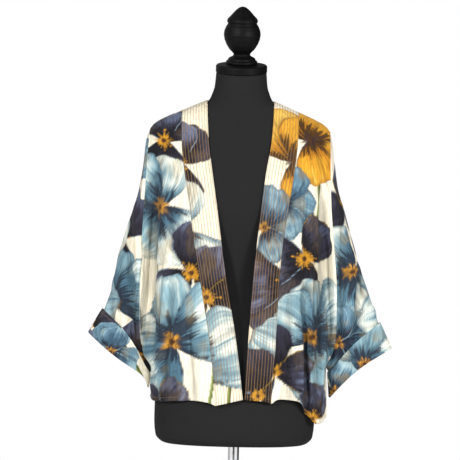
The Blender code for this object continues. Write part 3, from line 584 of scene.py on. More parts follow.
def along_edge(table, count_share):
    """Points along a table of places, spaced by their length."""
    length = np.concatenate([[0.0], np.cumsum(np.hypot(*np.diff(table, axis=0).T))])
    length /= length[-1]
    x = smooth(count_share, length, table[:, 0])
    z = smooth(count_share, length, table[:, 1])
    return np.stack([x, z], -1)


def cuff_ring(side, which, turns):
    """The ring at the cuff's top or foot as seen from the front: a straight line between its two
    corners, bowed up along its middle."""
    spec = CUFF[side]
    outer = np.array(spec[which + "_out"])
    inner = np.array(spec[which + "_in"])
    share = 0.5 * (1.0 - np.cos(turns))
    across = inner - outer
    line = outer + across * share[:, None]
    normal = np.array([-across[1], across[0]]) / np.hypot(*across)
    if normal[1] < 0.0:
        normal = -normal
    lean = spec["lean"] if which == "foot" else 1.0
    return line + normal * (spec["bow_" + which] * np.sin(math.pi * share ** lean))[:, None]


def sleeve_cloth(side):
    """The sleeve as rings from the armhole to the cuff's top and on to its foot.

    Each ring runs straight from the sleeve's outer edge to its underarm edge. What is left of the
    armhole's curve and what has come of the cuff's bow are added, then the belly and the folds."""
    turns = ring_turns()
    start = ring_start(side)
    share = 0.5 * (1.0 - np.cos(turns))[:, None]
    first = np.stack([np.abs(start[:, 0]), start[:, 2]], -1)
    top_line = cuff_ring(side, "top", turns)
    foot_line = cuff_ring(side, "foot", turns)
    top_out = np.array(CUFF[side]["top_out"])
    top_in = np.array(CUFF[side]["top_in"])
    along = np.linspace(0.0, 1.0, SLEEVE_RINGS + 1)
    outer = along_edge(SLEEVE_OUTER[side], along)
    corner = np.array([edge_across(UNDERARM[side], side), UNDERARM[side]])
    inner = corner + (top_in - corner) * along[:, None]
    tip = np.array([SHOULDER_TIP, ridge(SHOULDER_TIP)])
    bulge = first - (1 - share) * tip - share * corner
    bow = top_line - (1 - share) * top_out - share * top_in
    sign = np.sin(turns)
    full = np.sign(sign) * np.abs(sign) ** 0.75
    rings = []
    for k, r in enumerate(along):
        fan = (1 - share) * outer[k] + share * inner[k] + (1 - r * r) * bulge + r * bow
        blend = r ** 1.1
        deep = (1 - blend) * start[:, 1] - blend * CUFF_DEPTH_TOP * full
        deep = deep - SLEEVE_BELLY * math.sin(math.pi * min(r * 1.1, 1.0)) * sign
        for around, out, half, at in SLEEVE_FOLDS:
            near = np.exp(-(((turns / math.pi - around) / half) ** 2))
            where = math.exp(-(((r - at) / 0.3) ** 2)) * math.sin(math.pi * r)
            deep = deep - np.sign(around) * out * near * where
        rings.append(np.stack([side * fan[:, 0], deep, fan[:, 1]], -1))
    for r in np.linspace(0.0, 1.0, CUFF_RINGS + 1)[1:]:
        line = top_line + (foot_line - top_line) * r
        deep = -(CUFF_DEPTH_TOP + (CUFF_DEPTH_FOOT - CUFF_DEPTH_TOP) * r) * full
        rings.append(np.stack([side * line[:, 0], deep, line[:, 1]], -1))
    return np.array(rings)


def linear(code):
    """A colour written as six hex digits, as linear light."""
    parts = [int(code[i:i + 2], 16) / 255.0 for i in (0, 2, 4)]
    return np.array([c / 12.92 if c <= 0.04045 else ((c + 0.055) / 1.055) ** 2.4 for c in parts])


def scatter(i, j, seed):
    """A number between nought and one for each lattice corner."""
    value = np.sin(i * 127.1 + j * 311.7 + seed * 74.7) * 43758.5453
    return value - np.floor(value)


def noise(x, y, seed=0.0):
    """Smooth random hills between nought and one."""
    i = np.floor(x)
    j = np.floor(y)
    u = x - i
    v = y - j
    u = u * u * (3.0 - 2.0 * u)
    v = v * v * (3.0 - 2.0 * v)
    low = scatter(i, j, seed) * (1.0 - u) + scatter(i + 1, j, seed) * u
    high = scatter(i, j + 1, seed) * (1.0 - u) + scatter(i + 1, j + 1, seed) * u
    return low * (1.0 - v) + high * v


def layers(x, y, seed=0.0, count=3):
    """Hills with smaller hills on them, around nought."""
    total = 0.0
    for k in range(count):
        total = total + (noise(x * 2.0 ** k, y * 2.0 ** k, seed + 7.0 * k) - 0.5) / 1.8 ** k
    return total


def mix(first, second, share):
    """Colours that go from the first to the second by a share for each point."""
    return first + (second - first) * np.asarray(share)[..., None]


# The printed colours. Washes of a paler and a darker cream are the ground. The last colour is the tan
# laid along the bands' rows of stitching: the thread's own colour, and also painted shade in the
# grooves the rows sew.
CREAM = linear("F0E8D2")
CREAM_SHADE = linear("DED3B6")
INK = linear("2A2733")
THREAD_AND_GROOVE_SHADE = linear("A37C4B")

# Colours of a petal: at its throat, then from its middle to its palest, and its thin outline.
PETALS = {
    "blue": [linear(c) for c in ("1E2432", "4C6E80", "86A8B2", "E2E6DA", "3C5468")],
    "slate": [linear(c) for c in ("1A202E", "3A5468", "67899A", "A4BDC2", "8FB3C0")],
    "ink": [linear(c) for c in ("121016", "221F29", "373645", "66708A", "8EA3B4")],
    "ochre": [linear(c) for c in ("33200F", "B9781A", "DDA02C", "E9BC58", "3B2A22")],
}
STAIN = linear("A88428")
HEART = linear("D99A26")
HEART_DARK = linear("4A2C16")
STEM = [linear(c) for c in ("434D1E", "74823A", "A3AC66")]

# A flower's petals are laid over each other in this order, and now and then one is missing.
PETAL_ORDER = (0, 2, 4, 1, 3)

# The printed flowers of each stretch of cloth: kind, across, height, petal length and turn in
# degrees, then the stems: start, bend and end as across and height, and half width.
PRINTS = {
    "front": ([
        ("ink", -168.0, 270.0, 96.0, 250.0),
        ("blue", -176.0, 116.0, 124.0, 290.0),
        ("ink", -100.0, -26.0, 104.0, 75.0),
        ("blue", -142.0, -176.0, 132.0, 110.0),
        ("ink", -176.0, -332.0, 82.0, 60.0),
        ("ochre", 152.0, 276.0, 112.0, 200.0),
        ("slate", 90.0, 128.0, 84.0, 215.0),
        ("ink", 146.0, 10.0, 108.0, 330.0),
        ("blue", 172.0, -160.0, 124.0, 80.0),
        ("ink", 84.0, -236.0, 84.0, 160.0),
        ("ink", 186.0, -338.0, 84.0, 40.0),
    ], [
        (-176.0, 84.0, -206.0, -20.0, -150.0, -150.0, 4.2),
        (156.0, 240.0, 196.0, 160.0, 172.0, 60.0, 4.4),
        (-60.0, -20.0, -30.0, -150.0, -56.0, -320.0, 3.8),
        (120.0, -10.0, 70.0, -70.0, 84.0, -170.0, 4.0),
    ]),
    "back": ([
        ("ink", -150.0, 252.0, 110.0, 30.0),
        ("blue", -20.0, 170.0, 130.0, 80.0),
        ("ochre", 140.0, 226.0, 96.0, 10.0),
        ("ink", 112.0, 50.0, 116.0, 140.0),
        ("slate", -140.0, 20.0, 124.0, 20.0),
        ("blue", 24.0, -80.0, 126.0, 65.0),
        ("ink", -106.0, -176.0, 108.0, 110.0),
        ("slate", 160.0, -150.0, 116.0, 40.0),
        ("blue", -16.0, -300.0, 104.0, 5.0),
        ("ink", 130.0, -318.0, 88.0, 75.0),
        ("ochre", -170.0, -320.0, 72.0, 150.0),
    ], [
        (-20.0, 186.0, 2.0, 60.0, -46.0, -60.0, 4.2),
        (140.0, 210.0, 190.0, 110.0, 172.0, -60.0, 4.2),
        (24.0, -60.0, 76.0, -160.0, 60.0, -320.0, 4.0),
        (-140.0, 52.0, -186.0, -60.0, -172.0, -230.0, 4.0),
    ]),
    "right_sleeve": ([
        ("slate", -222.0, 176.0, 84.0, 280.0),
        ("ink", -236.0, 44.0, 92.0, 130.0),
        ("blue", -262.0, -92.0, 118.0, 75.0),
        ("ink", -206.0, -216.0, 70.0, 20.0),
        ("blue", -340.0, 120.0, 120.0, 0.0),
        ("slate", -380.0, -90.0, 110.0, 60.0),
    ], [(-330.0, 120.0, -362.0, 20.0, -340.0, -170.0, 4.0)]),
    "left_sleeve": ([
        ("ink", 214.0, 130.0, 74.0, 260.0),
        ("blue", 226.0, -20.0, 96.0, 300.0),
        ("slate", 218.0, -176.0, 86.0, 40.0),
        ("ink", 350.0, 90.0, 110.0, 30.0),
        ("blue", 396.0, -110.0, 120.0, 50.0),
    ], [(258.0, 70.0, 296.0, -20.0, 286.0, -160.0, 4.6)]),
    "right_cuff": ([
        ("ink", -318.0, -140.0, 74.0, 300.0),
        ("slate", -262.0, -206.0, 58.0, 200.0),
        ("ink", -360.0, -240.0, 80.0, 60.0),
    ], [(-250.0, -170.0, -222.0, -214.0, -190.0, -290.0, 3.6)]),
    "left_cuff": ([
        ("slate", 346.0, -146.0, 92.0, 250.0),
        ("blue", 276.0, -222.0, 84.0, 160.0),
        ("slate", 216.0, -282.0, 66.0, 60.0),
        ("ink", 400.0, -250.0, 80.0, 100.0),
    ], []),
}


def paint_stem(colour, ground, x, z, stem):
    """A stem along a bent line: light on one side and dark on the other, over the bare ground."""
    x0, z0, xm, zm, x1, z1, half = stem
    near = np.full(len(x), 1e9)
    side = np.zeros(len(x))
    t = np.linspace(0.0, 1.0, 40)
    sx = (1 - t) ** 2 * x0 + 2 * t * (1 - t) * xm + t * t * x1
    sz = (1 - t) ** 2 * z0 + 2 * t * (1 - t) * zm + t * t * z1
    box = (x > sx.min() - 10) & (x < sx.max() + 10) & (z > sz.min() - 10) & (z < sz.max() + 10)
    index = np.nonzero(box)[0]
    for k in range(39):
        dx = sx[k + 1] - sx[k]
        dz = sz[k + 1] - sz[k]
        size = dx * dx + dz * dz
        share = np.clip(((x[index] - sx[k]) * dx + (z[index] - sz[k]) * dz) / size, 0.0, 1.0)
        ox = x[index] - sx[k] - share * dx
        oz = z[index] - sz[k] - share * dz
        away = np.hypot(ox, oz)
        better = away < near[index]
        pick = index[better]
        near[pick] = away[better]
        side[pick] = ((ox * dz - oz * dx) / math.sqrt(size))[better]
    width = half * (0.9 + 0.3 * noise(z / 30.0, x / 60.0, 3.0))
    inside = fade(width - near, -0.9, 0.9)
    tone = mix(STEM[0], STEM[1], fade(side / half, -0.9, 0.1))
    tone = mix(tone, STEM[2], 0.7 * fade(side / half, 0.1, 0.7))
    colour[:] = mix(colour, tone, inside)
    ground[:] = ground * (1.0 - inside)


def paint_petal(colour, ground, x, z, kind, centre, size, angle, width, seed):
    """One broad petal with a loose edge, in washes drawn out along its length."""
    near = np.nonzero(np.hypot(x - centre[0], z - centre[1]) < size * 1.3)[0]
    if len(near) == 0:
        return
    dx = (x[near] - centre[0]) / size
    dz = (z[near] - centre[1]) / size
    c = math.cos(angle)
    s = math.sin(angle)
    along = dx * c + dz * s
    off = -dx * s + dz * c
    # Its outline: a bent middle line, a frilled tip and uneven sides. The gap is how far inside the
    # outline a point lies, in millimetres.
    off = off + 0.10 * math.sin(seed * 1.7) * along * along
    frill = 0.07 * layers(off * 4.0 + 9.0, along * 1.5, seed) + 0.02 * np.sin(17.0 * off + seed * 3.0)
    reach = along * (1.0 + frill + 0.16 * (off / width) ** 2)
    body = np.clip(reach, 0.0, 1.0)
    edge = width * body ** 0.6 * np.sqrt(np.clip(1.0 - body ** 4.5, 0.0, 1.0)) * 1.12
    edge = edge * (1.0 + 0.16 * layers(along * 3.0 + 3.0, off * 1.2 + seed, seed + 2.0))
    gap = (edge - np.abs(off)) * size
    gap = np.minimum(gap, (1.0 - reach) * 1.1 * size)
    gap = np.where(reach <= 0.0, -np.hypot(along, off) * size, gap)
    inside = fade(gap, -1.5, 1.2)
    throat, deep, light, pale, line = PETALS[kind]
    if kind == "ink" and math.sin(seed * 1.3) > 0.0:
        line = STAIN
    # Its washes: dark to light from the throat out, broken up by brush lines that fan out with it.
    fan = off / (edge + 0.08)
    fine = noise(fan * 26.0 + 40.0, along * 2.0, seed)
    broad = noise(fan * 9.0 + 10.0, along * 1.2, seed + 5.0)
    hair = noise(fan * 60.0 + 70.0, along * 5.0, seed + 8.0)
    wash = layers(dx * 2.2 + 5.0, dz * 2.2 + 5.0, seed)
    level = 0.15 + 0.85 * body + 0.55 * wash + 0.30 * (fine - 0.5) + 0.34 * (broad - 0.5)
    tone = mix(np.repeat(deep[None, :], len(near), 0), light, fade(level, 0.25, 0.75))
    washed = 0.16 if kind == "blue" else 0.0
    tone = mix(tone, pale, fade(level + washed + 0.18 * math.sin(seed * 2.9), 0.72, 1.20))
    # A darker border on most petals, dark spikes out of the throat, and a crease along it.
    border = fade(gap, 0.0, 7.0 + 9.0 * broad)
    dark_edge = 0.75 if math.sin(seed * 4.1) > -0.2 else 0.15
    tone = mix(tone, deep, (1.0 - border) * dark_edge)
    spikes = 0.30 + 0.34 * (fine - 0.5) + 0.30 * (broad - 0.5) + 0.14 * (hair - 0.5)
    tone = mix(tone, throat, 0.92 * (1.0 - fade(body, spikes - 0.05, spikes + 0.06)))
    crease = np.exp(-((fan - 0.3 * math.sin(seed)) / 0.06) ** 2) * fade(body, 0.1, 0.4)
    tone = tone * (1.0 - 0.25 * crease)[:, None]
    # A stain on the blue and dark kinds, and a thin outline that comes and goes.
    if kind != "ochre":
        stained = fade(layers(x[near] / 34.0 + 3.0, z[near] / 52.0, seed + 9.0), 0.12, 0.42)
        tone = mix(tone, STAIN, (0.10 if kind == "ink" else 0.30) * stained * fade(body, 0.2, 0.5))
    tone = tone * (0.84 + 0.30 * hair + 0.20 * (fine - 0.5))[:, None]
    broken = fade(noise(x[near] / 26.0, z[near] / 26.0, seed), 0.35, 0.6)
    outline = np.exp(-((gap - 1.0) / 1.1) ** 2) * broken
    tone = mix(tone, line, 0.8 * outline)
    # Over what lies under it, it casts a soft edge of shade, but not on the bare ground.
    under = colour[near]
    shadow = np.exp(-np.clip(-gap, 0.0, 60.0) / 6.0) * 0.5 * (1.0 - ground[near])
    under = under * (1.0 - shadow * (reach > 0.02))[:, None]
    colour[near] = mix(under, np.clip(tone, 0.004, 1.0), inside)
    ground[near] = ground[near] * (1.0 - inside)


def paint_heart(colour, x, z, kind, centre, size, seed):
    """A dark button with loose threads round it, some of them tipped."""
    near = np.nonzero(np.hypot(x - centre[0], z - centre[1]) < size * 0.5)[0]
    if len(near) == 0:
        return
    dx = x[near] - centre[0]
    dz = z[near] - centre[1]
    radius = np.hypot(dx, dz)
    angle = np.arctan2(dz, dx) + 0.12 * (noise(dx / 9.0, dz / 9.0, seed) - 0.5)
    tone = colour[near]
    warm = HEART if kind != "ochre" else HEART_DARK
    loose = noise(angle * 4.0 + 9.0, radius / 40.0, seed)
    glow = 1.0 - fade(radius / size, 0.03 + 0.10 * loose, 0.08 + 0.20 * loose)
    fleck = noise(angle * 9.0 + 30.0, radius / 9.0, seed + 1.0)
    tone = mix(tone, warm * (0.75 + 0.5 * fleck)[:, None], glow * 0.85)
    # The threads: thin spokes of uneven length, each with a round tip.
    count = 17
    turn = angle / (2.0 * math.pi) * count
    spoke = np.round(turn)
    length = size * (0.10 + 0.20 * scatter(spoke % count, 0.0 * spoke, seed))
    aside = np.abs(turn - spoke) / count * 2.0 * math.pi * radius
    shown = fade(length - radius, 0.0, 10.0) * fade(radius, 0.03 * size, 0.10 * size)
    line = fade(1.3 - aside, -0.6, 0.9) * shown
    hair = warm * 0.8 if kind == "ink" else INK
    tone = mix(tone, hair, line * 0.85)
    tip = np.hypot(aside, radius - length)
    dot = fade(3.4 * scatter(spoke % count, 1.0 + 0.0 * spoke, seed) - 0.6 - tip, -0.6, 1.0)
    tone = mix(tone, hair * 1.2, dot * 0.85)
    # The dark button in the middle.
    button = 1.0 - fade(radius / size + 0.02 * loose, 0.05, 0.085)
    tone = mix(tone, HEART_DARK * (0.6 + 0.8 * noise(dx / 2.0, dz / 2.0, seed))[:, None], button)
    colour[near] = tone


def paint(x, z, which):
    """The printed colour of each point of a cloth laid flat: ground, then stems, then each flower's
    petals and heart over those before it."""
    flowers, stems = PRINTS[which]
    shape = x.shape
    x = x.ravel()
    z = z.ravel()
    wash = fade(layers(x / 55.0, z / 90.0, 21.0), 0.0, 0.5)
    colour = mix(np.repeat(CREAM[None, :], len(x), 0), CREAM_SHADE, 0.45 * wash)
    ground = np.ones(len(x))
    for stem in stems:
        paint_stem(colour, ground, x, z, stem)
    for number, (kind, cx, cz, size, turn) in enumerate(flowers):
        for k in PETAL_ORDER:
            seed = number * 13.7 + k * 3.1 + 0.37 * len(flowers)
            if math.sin(seed * 7.3) > 0.72:
                continue
            angle = math.radians(turn) + 2.0 * math.pi * k / len(PETAL_ORDER)
            angle = angle + 0.26 * math.sin(seed * 5.0)
            long = size * (1.12 + 0.18 * math.sin(seed * 2.3))
            width = 0.66 + 0.08 * math.sin(seed * 3.3)
            paint_petal(colour, ground, x, z, kind, (cx, cz), long, angle, width, seed)
        paint_heart(colour, x, z, kind, (cx, cz), size, number + 0.5)
    return colour.reshape(*shape, 3)


def grid_normals(grid, closed, flip):
    """Outward unit directions at the points of a grid: square to its steps down and across."""
    down = np.gradient(grid, axis=0)
    if closed:
        across = np.roll(grid, -1, axis=1) - np.roll(grid, 1, axis=1)
    else:
        across = np.gradient(grid, axis=1)
    out = np.cross(down, across) * (1.0 if flip else -1.0)
    size = np.linalg.norm(out, axis=-1)[..., None]
    out = out / np.maximum(size, 1e-9)
    return np.where(size > 1e-7, out, 0.0)


# The main creases, as seen from the front or the back: face, place across and height of the top and
# the foot, how far out (or in, below nought), and half width.
CREASES = [
    (FRONT, -150.0, 304.0, -198.0, 150.0, -3.0, 7.0),
    (FRONT, -128.0, 292.0, -172.0, 80.0, 2.5, 9.0),
    (FRONT, -172.0, 190.0, -188.0, -240.0, -6.0, 6.0),
    (FRONT, -150.0, 90.0, -170.0, -296.0, 5.0, 7.0),
    (FRONT, -136.0, 10.0, -150.0, -300.0, -5.0, 6.0),
    (FRONT, -112.0, 60.0, -118.0, -300.0, 3.5, 8.0),
    (FRONT, -96.0, -110.0, -96.0, -300.0, -3.5, 5.0),
    (FRONT, -74.0, -190.0, -72.0, -300.0, 2.5, 5.0),
    (FRONT, -192.0, -60.0, -176.0, -290.0, 4.0, 5.0),
    (FRONT, 150.0, 300.0, 194.0, 160.0, -3.0, 6.0),
    (FRONT, 134.0, 280.0, 170.0, 120.0, 2.5, 8.0),
    (FRONT, 176.0, 200.0, 182.0, -230.0, -7.0, 6.0),
    (FRONT, 160.0, 110.0, 170.0, -320.0, 5.0, 6.0),
    (FRONT, 148.0, 20.0, 157.0, -330.0, -5.5, 5.0),
    (FRONT, 190.0, -70.0, 190.0, -330.0, 5.0, 5.0),
    (FRONT, 132.0, -60.0, 141.0, -300.0, 4.0, 6.0),
    (FRONT, 116.0, -20.0, 122.0, -296.0, -4.0, 6.0),
    (FRONT, 102.0, -180.0, 100.0, -298.0, 3.0, 5.0),
    (FRONT, -246.0, 50.0, -214.0, -190.0, -4.0, 7.0),
    (FRONT, -262.0, -10.0, -236.0, -200.0, 3.5, 8.0),
    (FRONT, -280.0, -66.0, -262.0, -190.0, -3.0, 7.0),
    (FRONT, -222.0, 150.0, -212.0, -60.0, 3.0, 6.0),
    (FRONT, 226.0, 120.0, 224.0, -160.0, -4.0, 6.0),
    (FRONT, 246.0, 60.0, 250.0, -180.0, 4.0, 8.0),
    (FRONT, 272.0, -10.0, 276.0, -180.0, -3.5, 8.0),
    (FRONT, 298.0, -84.0, 304.0, -160.0, 3.0, 8.0),
    (BACK, -160.0, 280.0, -180.0, -290.0, -5.0, 8.0),
    (BACK, -126.0, 200.0, -140.0, -300.0, 4.0, 10.0),
    (BACK, -84.0, 120.0, -110.0, -300.0, -5.0, 8.0),
    (BACK, -46.0, 40.0, -58.0, -300.0, 4.0, 9.0),
    (BACK, -8.0, 100.0, -2.0, -300.0, -4.0, 9.0),
    (BACK, 34.0, 20.0, 44.0, -300.0, 4.5, 8.0),
    (BACK, 76.0, 140.0, 92.0, -305.0, -5.0, 9.0),
    (BACK, 124.0, 180.0, 136.0, -315.0, 4.5, 9.0),
    (BACK, 160.0, 260.0, 178.0, -330.0, -5.0, 8.0),
    (BACK, -240.0, 60.0, -214.0, -190.0, -4.0, 8.0),
    (BACK, -266.0, -20.0, -246.0, -190.0, 3.5, 8.0),
    (BACK, 236.0, 80.0, 226.0, -170.0, -4.0, 8.0),
    (BACK, 268.0, 10.0, 268.0, -190.0, 4.0, 9.0),
]


def creases(grid):
    """How far the main creases move each point of a cloth out: each is a rounded ridge or groove along
    a slightly bent line, with soft ends and a width that varies."""
    x = grid[..., 0]
    z = grid[..., 2]
    total = np.zeros(x.shape)
    for face, x_top, top, x_foot, foot, out, half in CREASES:
        here = grid[..., 1] < 0.0 if face == FRONT else grid[..., 1] >= 0.0
        share = np.clip((top - z) / (top - foot), -0.3, 1.3)
        bend = 5.0 * np.sin(3.0 * share + x_top)
        middle = x_top + (x_foot - x_top) * share + bend
        length = fade(share, 0.0, 0.35) * (1.0 - fade(share, 0.85, 1.15))
        width = half * (0.8 + 0.5 * noise(z / 60.0, 0.0 * z, x_top))
        total = total + here * out * length * np.exp(-(((x - middle) / width) ** 2))
    return total


def wrinkles(grid, seed, strength=1.0):
    """Crinkles of a light cloth that hangs, deeper toward the hem: long soft hills 15 mm across with
    short ones of 8 mm between them, on broad ones of 42 mm, all leaning a little this way and that."""
    x = grid[..., 0] + 0.7 * grid[..., 1]
    z = grid[..., 2]
    lean = x + 6.0 * (noise(z / 90.0, x / 70.0, seed) - 0.5)
    long = noise(lean / 15.0 + 20.0, z / 95.0 + 20.0, seed) - 0.5
    short = noise(lean / 8.0 + 50.0, z / 42.0 + 50.0, seed + 3.0) - 0.5
    broad = noise(lean / 42.0 + 70.0, z / 150.0 + 70.0, seed + 5.0) - 0.5
    hang = 0.45 + 0.55 * (1.0 - fade(z, -60.0, 260.0))
    return strength * hang * (3.4 * long + 2.2 * short + 6.0 * broad)


def edge_share(shape, closed, reach):
    """Nought at the edges of a grid and one past the given number of strips."""
    rows = np.minimum(np.arange(shape[0]), np.arange(shape[0])[::-1])
    share = fade(rows / reach, 0.0, 1.0)[:, None] * np.ones(shape[1])[None, :]
    if not closed:
        columns = np.minimum(np.arange(shape[1]), np.arange(shape[1])[::-1])
        share = share * fade(columns / reach, 0.0, 1.0)[None, :]
    return share


# The least room between the cloth's middle and the form, and the most that a crinkle may go in.
FORM_CLEAR = 2.2
MOST_INSIDE = 6.0


def room_inside(grid):
    """How far the cloth can go in before it would touch the form."""
    across = np.abs(grid[..., 0])
    gaps = [np.abs(grid[..., 1]) - form_depth(across, grid[..., 2], face) for face in (FRONT, BACK)]
    gap = np.where(grid[..., 1] < 0.0, gaps[0], gaps[1])
    return np.clip(gap - FORM_CLEAR, 0.0, MOST_INSIDE)


def mesh_piece(name, points, faces, material, colours=None):
    """A smooth-shaded piece at the origin, its points lifted from the waist's level to the floor's and
    their colours kept with them: the print, with painted shade and light where the cloth has some."""
    mesh = bpy.data.meshes.new(name)
    placed = points.reshape(-1, 3) * MM + np.array([0.0, 0.0, LEVEL * MM])
    mesh.from_pydata(placed.tolist(), [], faces)
    if colours is not None:
        data = mesh.color_attributes.new("print_and_painted_shade", "FLOAT_COLOR", "POINT")
        flat = np.ones((len(placed), 4))
        flat[:, :3] = colours.reshape(-1, 3)
        data.data.foreach_set("color", flat.ravel())
    mesh.polygons.foreach_set("use_smooth", [True] * len(mesh.polygons))
    mesh.materials.append(material)
    mesh.update()
    piece = bpy.data.objects.new(name, mesh)
    bpy.context.scene.collection.objects.link(piece)
    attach(piece, "root")
    return piece


def grid_cells(rows, columns, closed, flip):
    """The four-sided faces of a grid, closed into rings or open, turned over where flip says so."""
    i = np.arange(rows - 1)[:, None] * columns
    j = np.arange(columns if closed else columns - 1)[None, :]
    k = (j + 1) % columns
    cells = np.stack([i + j, i + k, i + columns + k, i + columns + j], -1).reshape(-1, 4)
    return (cells[:, ::-1] if flip else cells).tolist()


def unit(vectors):
    """Vectors of length one along the last axis."""
    return vectors / np.maximum(np.linalg.norm(vectors, axis=-1), 1e-9)[..., None]


def line_down(points, normals, share):
    """A line down a grid at a share of its width, with the direction out of the cloth."""
    place = share * (points.shape[1] - 1)
    j = min(int(place), points.shape[1] - 2)
    u = place - j
    return tuple(table[:, j] * (1 - u) + table[:, j + 1] * u for table in (points, normals))


def line_across(points, normals, up, closed):
    """A line along a grid's last edge, a distance up from it, with the direction out of the cloth."""
    rows = points[::-1]
    outs = normals[::-1]
    steps = np.linalg.norm(np.diff(rows, axis=0), axis=-1)
    length = np.concatenate([np.zeros((1, rows.shape[1])), np.cumsum(steps, axis=0)])
    k = np.clip((length < up).sum(axis=0), 1, len(rows) - 1)
    j = np.arange(rows.shape[1])
    u = (up - length[k - 1, j]) / np.maximum(length[k, j] - length[k - 1, j], 1e-9)
    line = rows[k - 1, j] * (1 - u)[:, None] + rows[k, j] * u[:, None]
    out = outs[k - 1, j]
    if closed:
        line = np.concatenate([line, line[:1]])
        out = np.concatenate([out, out[:1]])
    return line, out


# A stitch, in millimetres: one every 3.8 mm and 2.9 mm long, longer than the real ones so that they
# show, then its half width and how far it stands out of the cloth and lies in it.
STITCH_PITCH = 3.8
STITCH_LENGTH = 2.9
STITCH_HALF = 0.5
STITCH_HIGH = 0.55
STITCH_DEEP = 0.3
STITCH_END = 0.25
# The faces of a stitch, between its start, end, two sides, top and underside.
STITCH_FACES = np.array([
    (0, 2, 4), (0, 4, 3), (0, 3, 5), (0, 5, 2), (1, 4, 2), (1, 3, 4), (1, 5, 3), (1, 2, 5),
])


def stitches(name, lines):
    """Short stitches along lines: each is a bar with tapered ends that just stands out of the cloth."""
    all_points = []
    for path, out in lines:
        step = np.linalg.norm(np.diff(path, axis=0), axis=1)
        along = np.concatenate([[0.0], np.cumsum(step)])
        count = int((along[-1] - 2.0) / STITCH_PITCH)
        middle = 1.0 + STITCH_PITCH * (np.arange(count) + 0.5)

        def at(where, table):
            return np.stack([np.interp(where, along, table[:, k]) for k in range(3)], -1)

        start = at(middle - STITCH_LENGTH / 2.0, path)
        end = at(middle + STITCH_LENGTH / 2.0, path)
        centre = at(middle, path)
        normal = unit(at(middle, out))
        aside = unit(np.cross(end - start, normal))
        corners = [
            start - STITCH_END * normal,
            end - STITCH_END * normal,
            centre + aside * STITCH_HALF,
            centre - aside * STITCH_HALF,
            centre + normal * STITCH_HIGH,
            centre - normal * STITCH_DEEP,
        ]
        all_points.append(np.stack(corners, 1))
    points = np.concatenate(all_points)
    faces = 6 * np.arange(len(points))[:, None, None] + STITCH_FACES
    return mesh_piece(name, points, faces.reshape(-1, 3).tolist(), thread)


def new_tree(owner):
    """The empty node tree of a material or a world."""
    owner.use_nodes = True
    owner.node_tree.nodes.clear()
    return owner.node_tree


def add_node(tree, kind, settings, links):
    """Add a node, with its inputs or properties set and other nodes' outputs run into its inputs.
    Its own outputs come back."""
    node = tree.nodes.new("ShaderNode" + kind)
    for key, value in settings.items():
        if isinstance(key, int) or key in node.inputs:
            node.inputs[key].default_value = value
        else:
            setattr(node, key, value)
    for key, source in links.items():
        tree.links.new(source, node.inputs[key])
    return node.outputs


def grain(tree, size, stretch=1.0, detail=2.0):
    """Hills of a size in millimetres, in the piece's own place and drawn out along its height."""
    place = add_node(tree, "TexCoord", {}, {})["Object"]
    drawn = add_node(tree, "Mapping", {"Scale": (1.0, 1.0, stretch)}, {"Vector": place})["Vector"]
    settings = {"Scale": 1.0 / (size * MM), "Detail": detail}
    return add_node(tree, "TexNoise", settings, {"Vector": drawn})["Fac"]


def varied(tree, colour, hills, low, high):
    """A colour times a number between low and high that follows the hills."""
    settings = {"From Min": 0.3, "From Max": 0.7, "To Min": low, "To Max": high}
    level = add_node(tree, "MapRange", settings, {"Value": hills})["Result"]
    grey = add_node(tree, "CombineXYZ", {}, {"X": level, "Y": level, "Z": level})["Vector"]
    return add_node(tree, "VectorMath", {"operation": "MULTIPLY"}, {0: colour, 1: grey})["Vector"]


def printed_crepe():
    """Light viscose crepe, woven from twisted threads that crinkle it, and printed. It is matt and
    soft, its crinkle runs down the cloth, painted shade darkens the print in the crinkle's hollows and
    painted light brightens it on its ridges, and some light passes through.

    The crinkle is 3.85 mm across and about eleven times as long, and the tone is uneven over 17 mm.
    The threads lie about 0.25 mm apart, too fine to show, so the weave is drawn at 0.385 mm."""
    material = bpy.data.materials.new("printed crepe")
    tree = new_tree(material)
    colour = add_node(tree, "Attribute", {"attribute_name": "print_and_painted_shade"}, {})["Color"]
    crinkle = grain(tree, 3.846, 0.09, 4.0)
    weave = grain(tree, 0.3846, 1.0, 1.0)
    # Painted shade and light: the colour is darker in the crinkle's hollows and lighter on its ridges,
    # on the same hills as its bump.
    colour = varied(tree, colour, crinkle, 0.84, 1.10)
    colour = varied(tree, colour, grain(tree, 16.67, 0.25), 0.95, 1.04)
    folds = {"Strength": 0.8, "Distance": 3.2 * MM}
    relief = add_node(tree, "Bump", folds, {"Height": crinkle})["Normal"]
    threads = {"Strength": 0.25, "Distance": 0.2 * MM}
    relief = add_node(tree, "Bump", threads, {"Height": weave, "Normal": relief})["Normal"]
    face = add_node(tree, "BsdfPrincipled",
                    {"Roughness": 0.8, "Sheen Weight": 0.06, "Specular IOR Level": 0.2},
                    {"Base Color": colour, "Normal": relief})["BSDF"]
    through = add_node(tree, "BsdfTranslucent", {}, {"Color": colour, "Normal": relief})["BSDF"]
    both = add_node(tree, "MixShader", {"Fac": 0.22}, {1: face, 2: through})["Shader"]
    add_node(tree, "OutputMaterial", {}, {"Surface": both})
    return material


def finish(name, colour, rough, size, low, high, depth, shine=0.5, metal=0.0):
    """One colour with a grain of a size in millimetres, which varies its tone between low and high
    and stands out by a depth in millimetres."""
    material = bpy.data.materials.new(name)
    tree = new_tree(material)
    base = add_node(tree, "RGB", {}, {})
    base[0].default_value = (*linear(colour), 1.0)
    hills = grain(tree, size)
    relief = add_node(tree, "Bump", {"Strength": 0.5, "Distance": depth * MM}, {"Height": hills})
    face = add_node(tree, "BsdfPrincipled",
                    {"Roughness": rough, "Metallic": metal, "Specular IOR Level": shine},
                    {"Base Color": varied(tree, base["Color"], hills, low, high),
                     "Normal": relief["Normal"]})
    add_node(tree, "OutputMaterial", {}, {"Surface": face["BSDF"]})
    return material


printed = printed_crepe()
# Spun polyester sewing thread: matt, and its twist shows as lighter and darker lengths.
thread = finish("tan thread", "A28965", 0.7, 1.111, 0.8, 1.15, 0.1, 0.3)
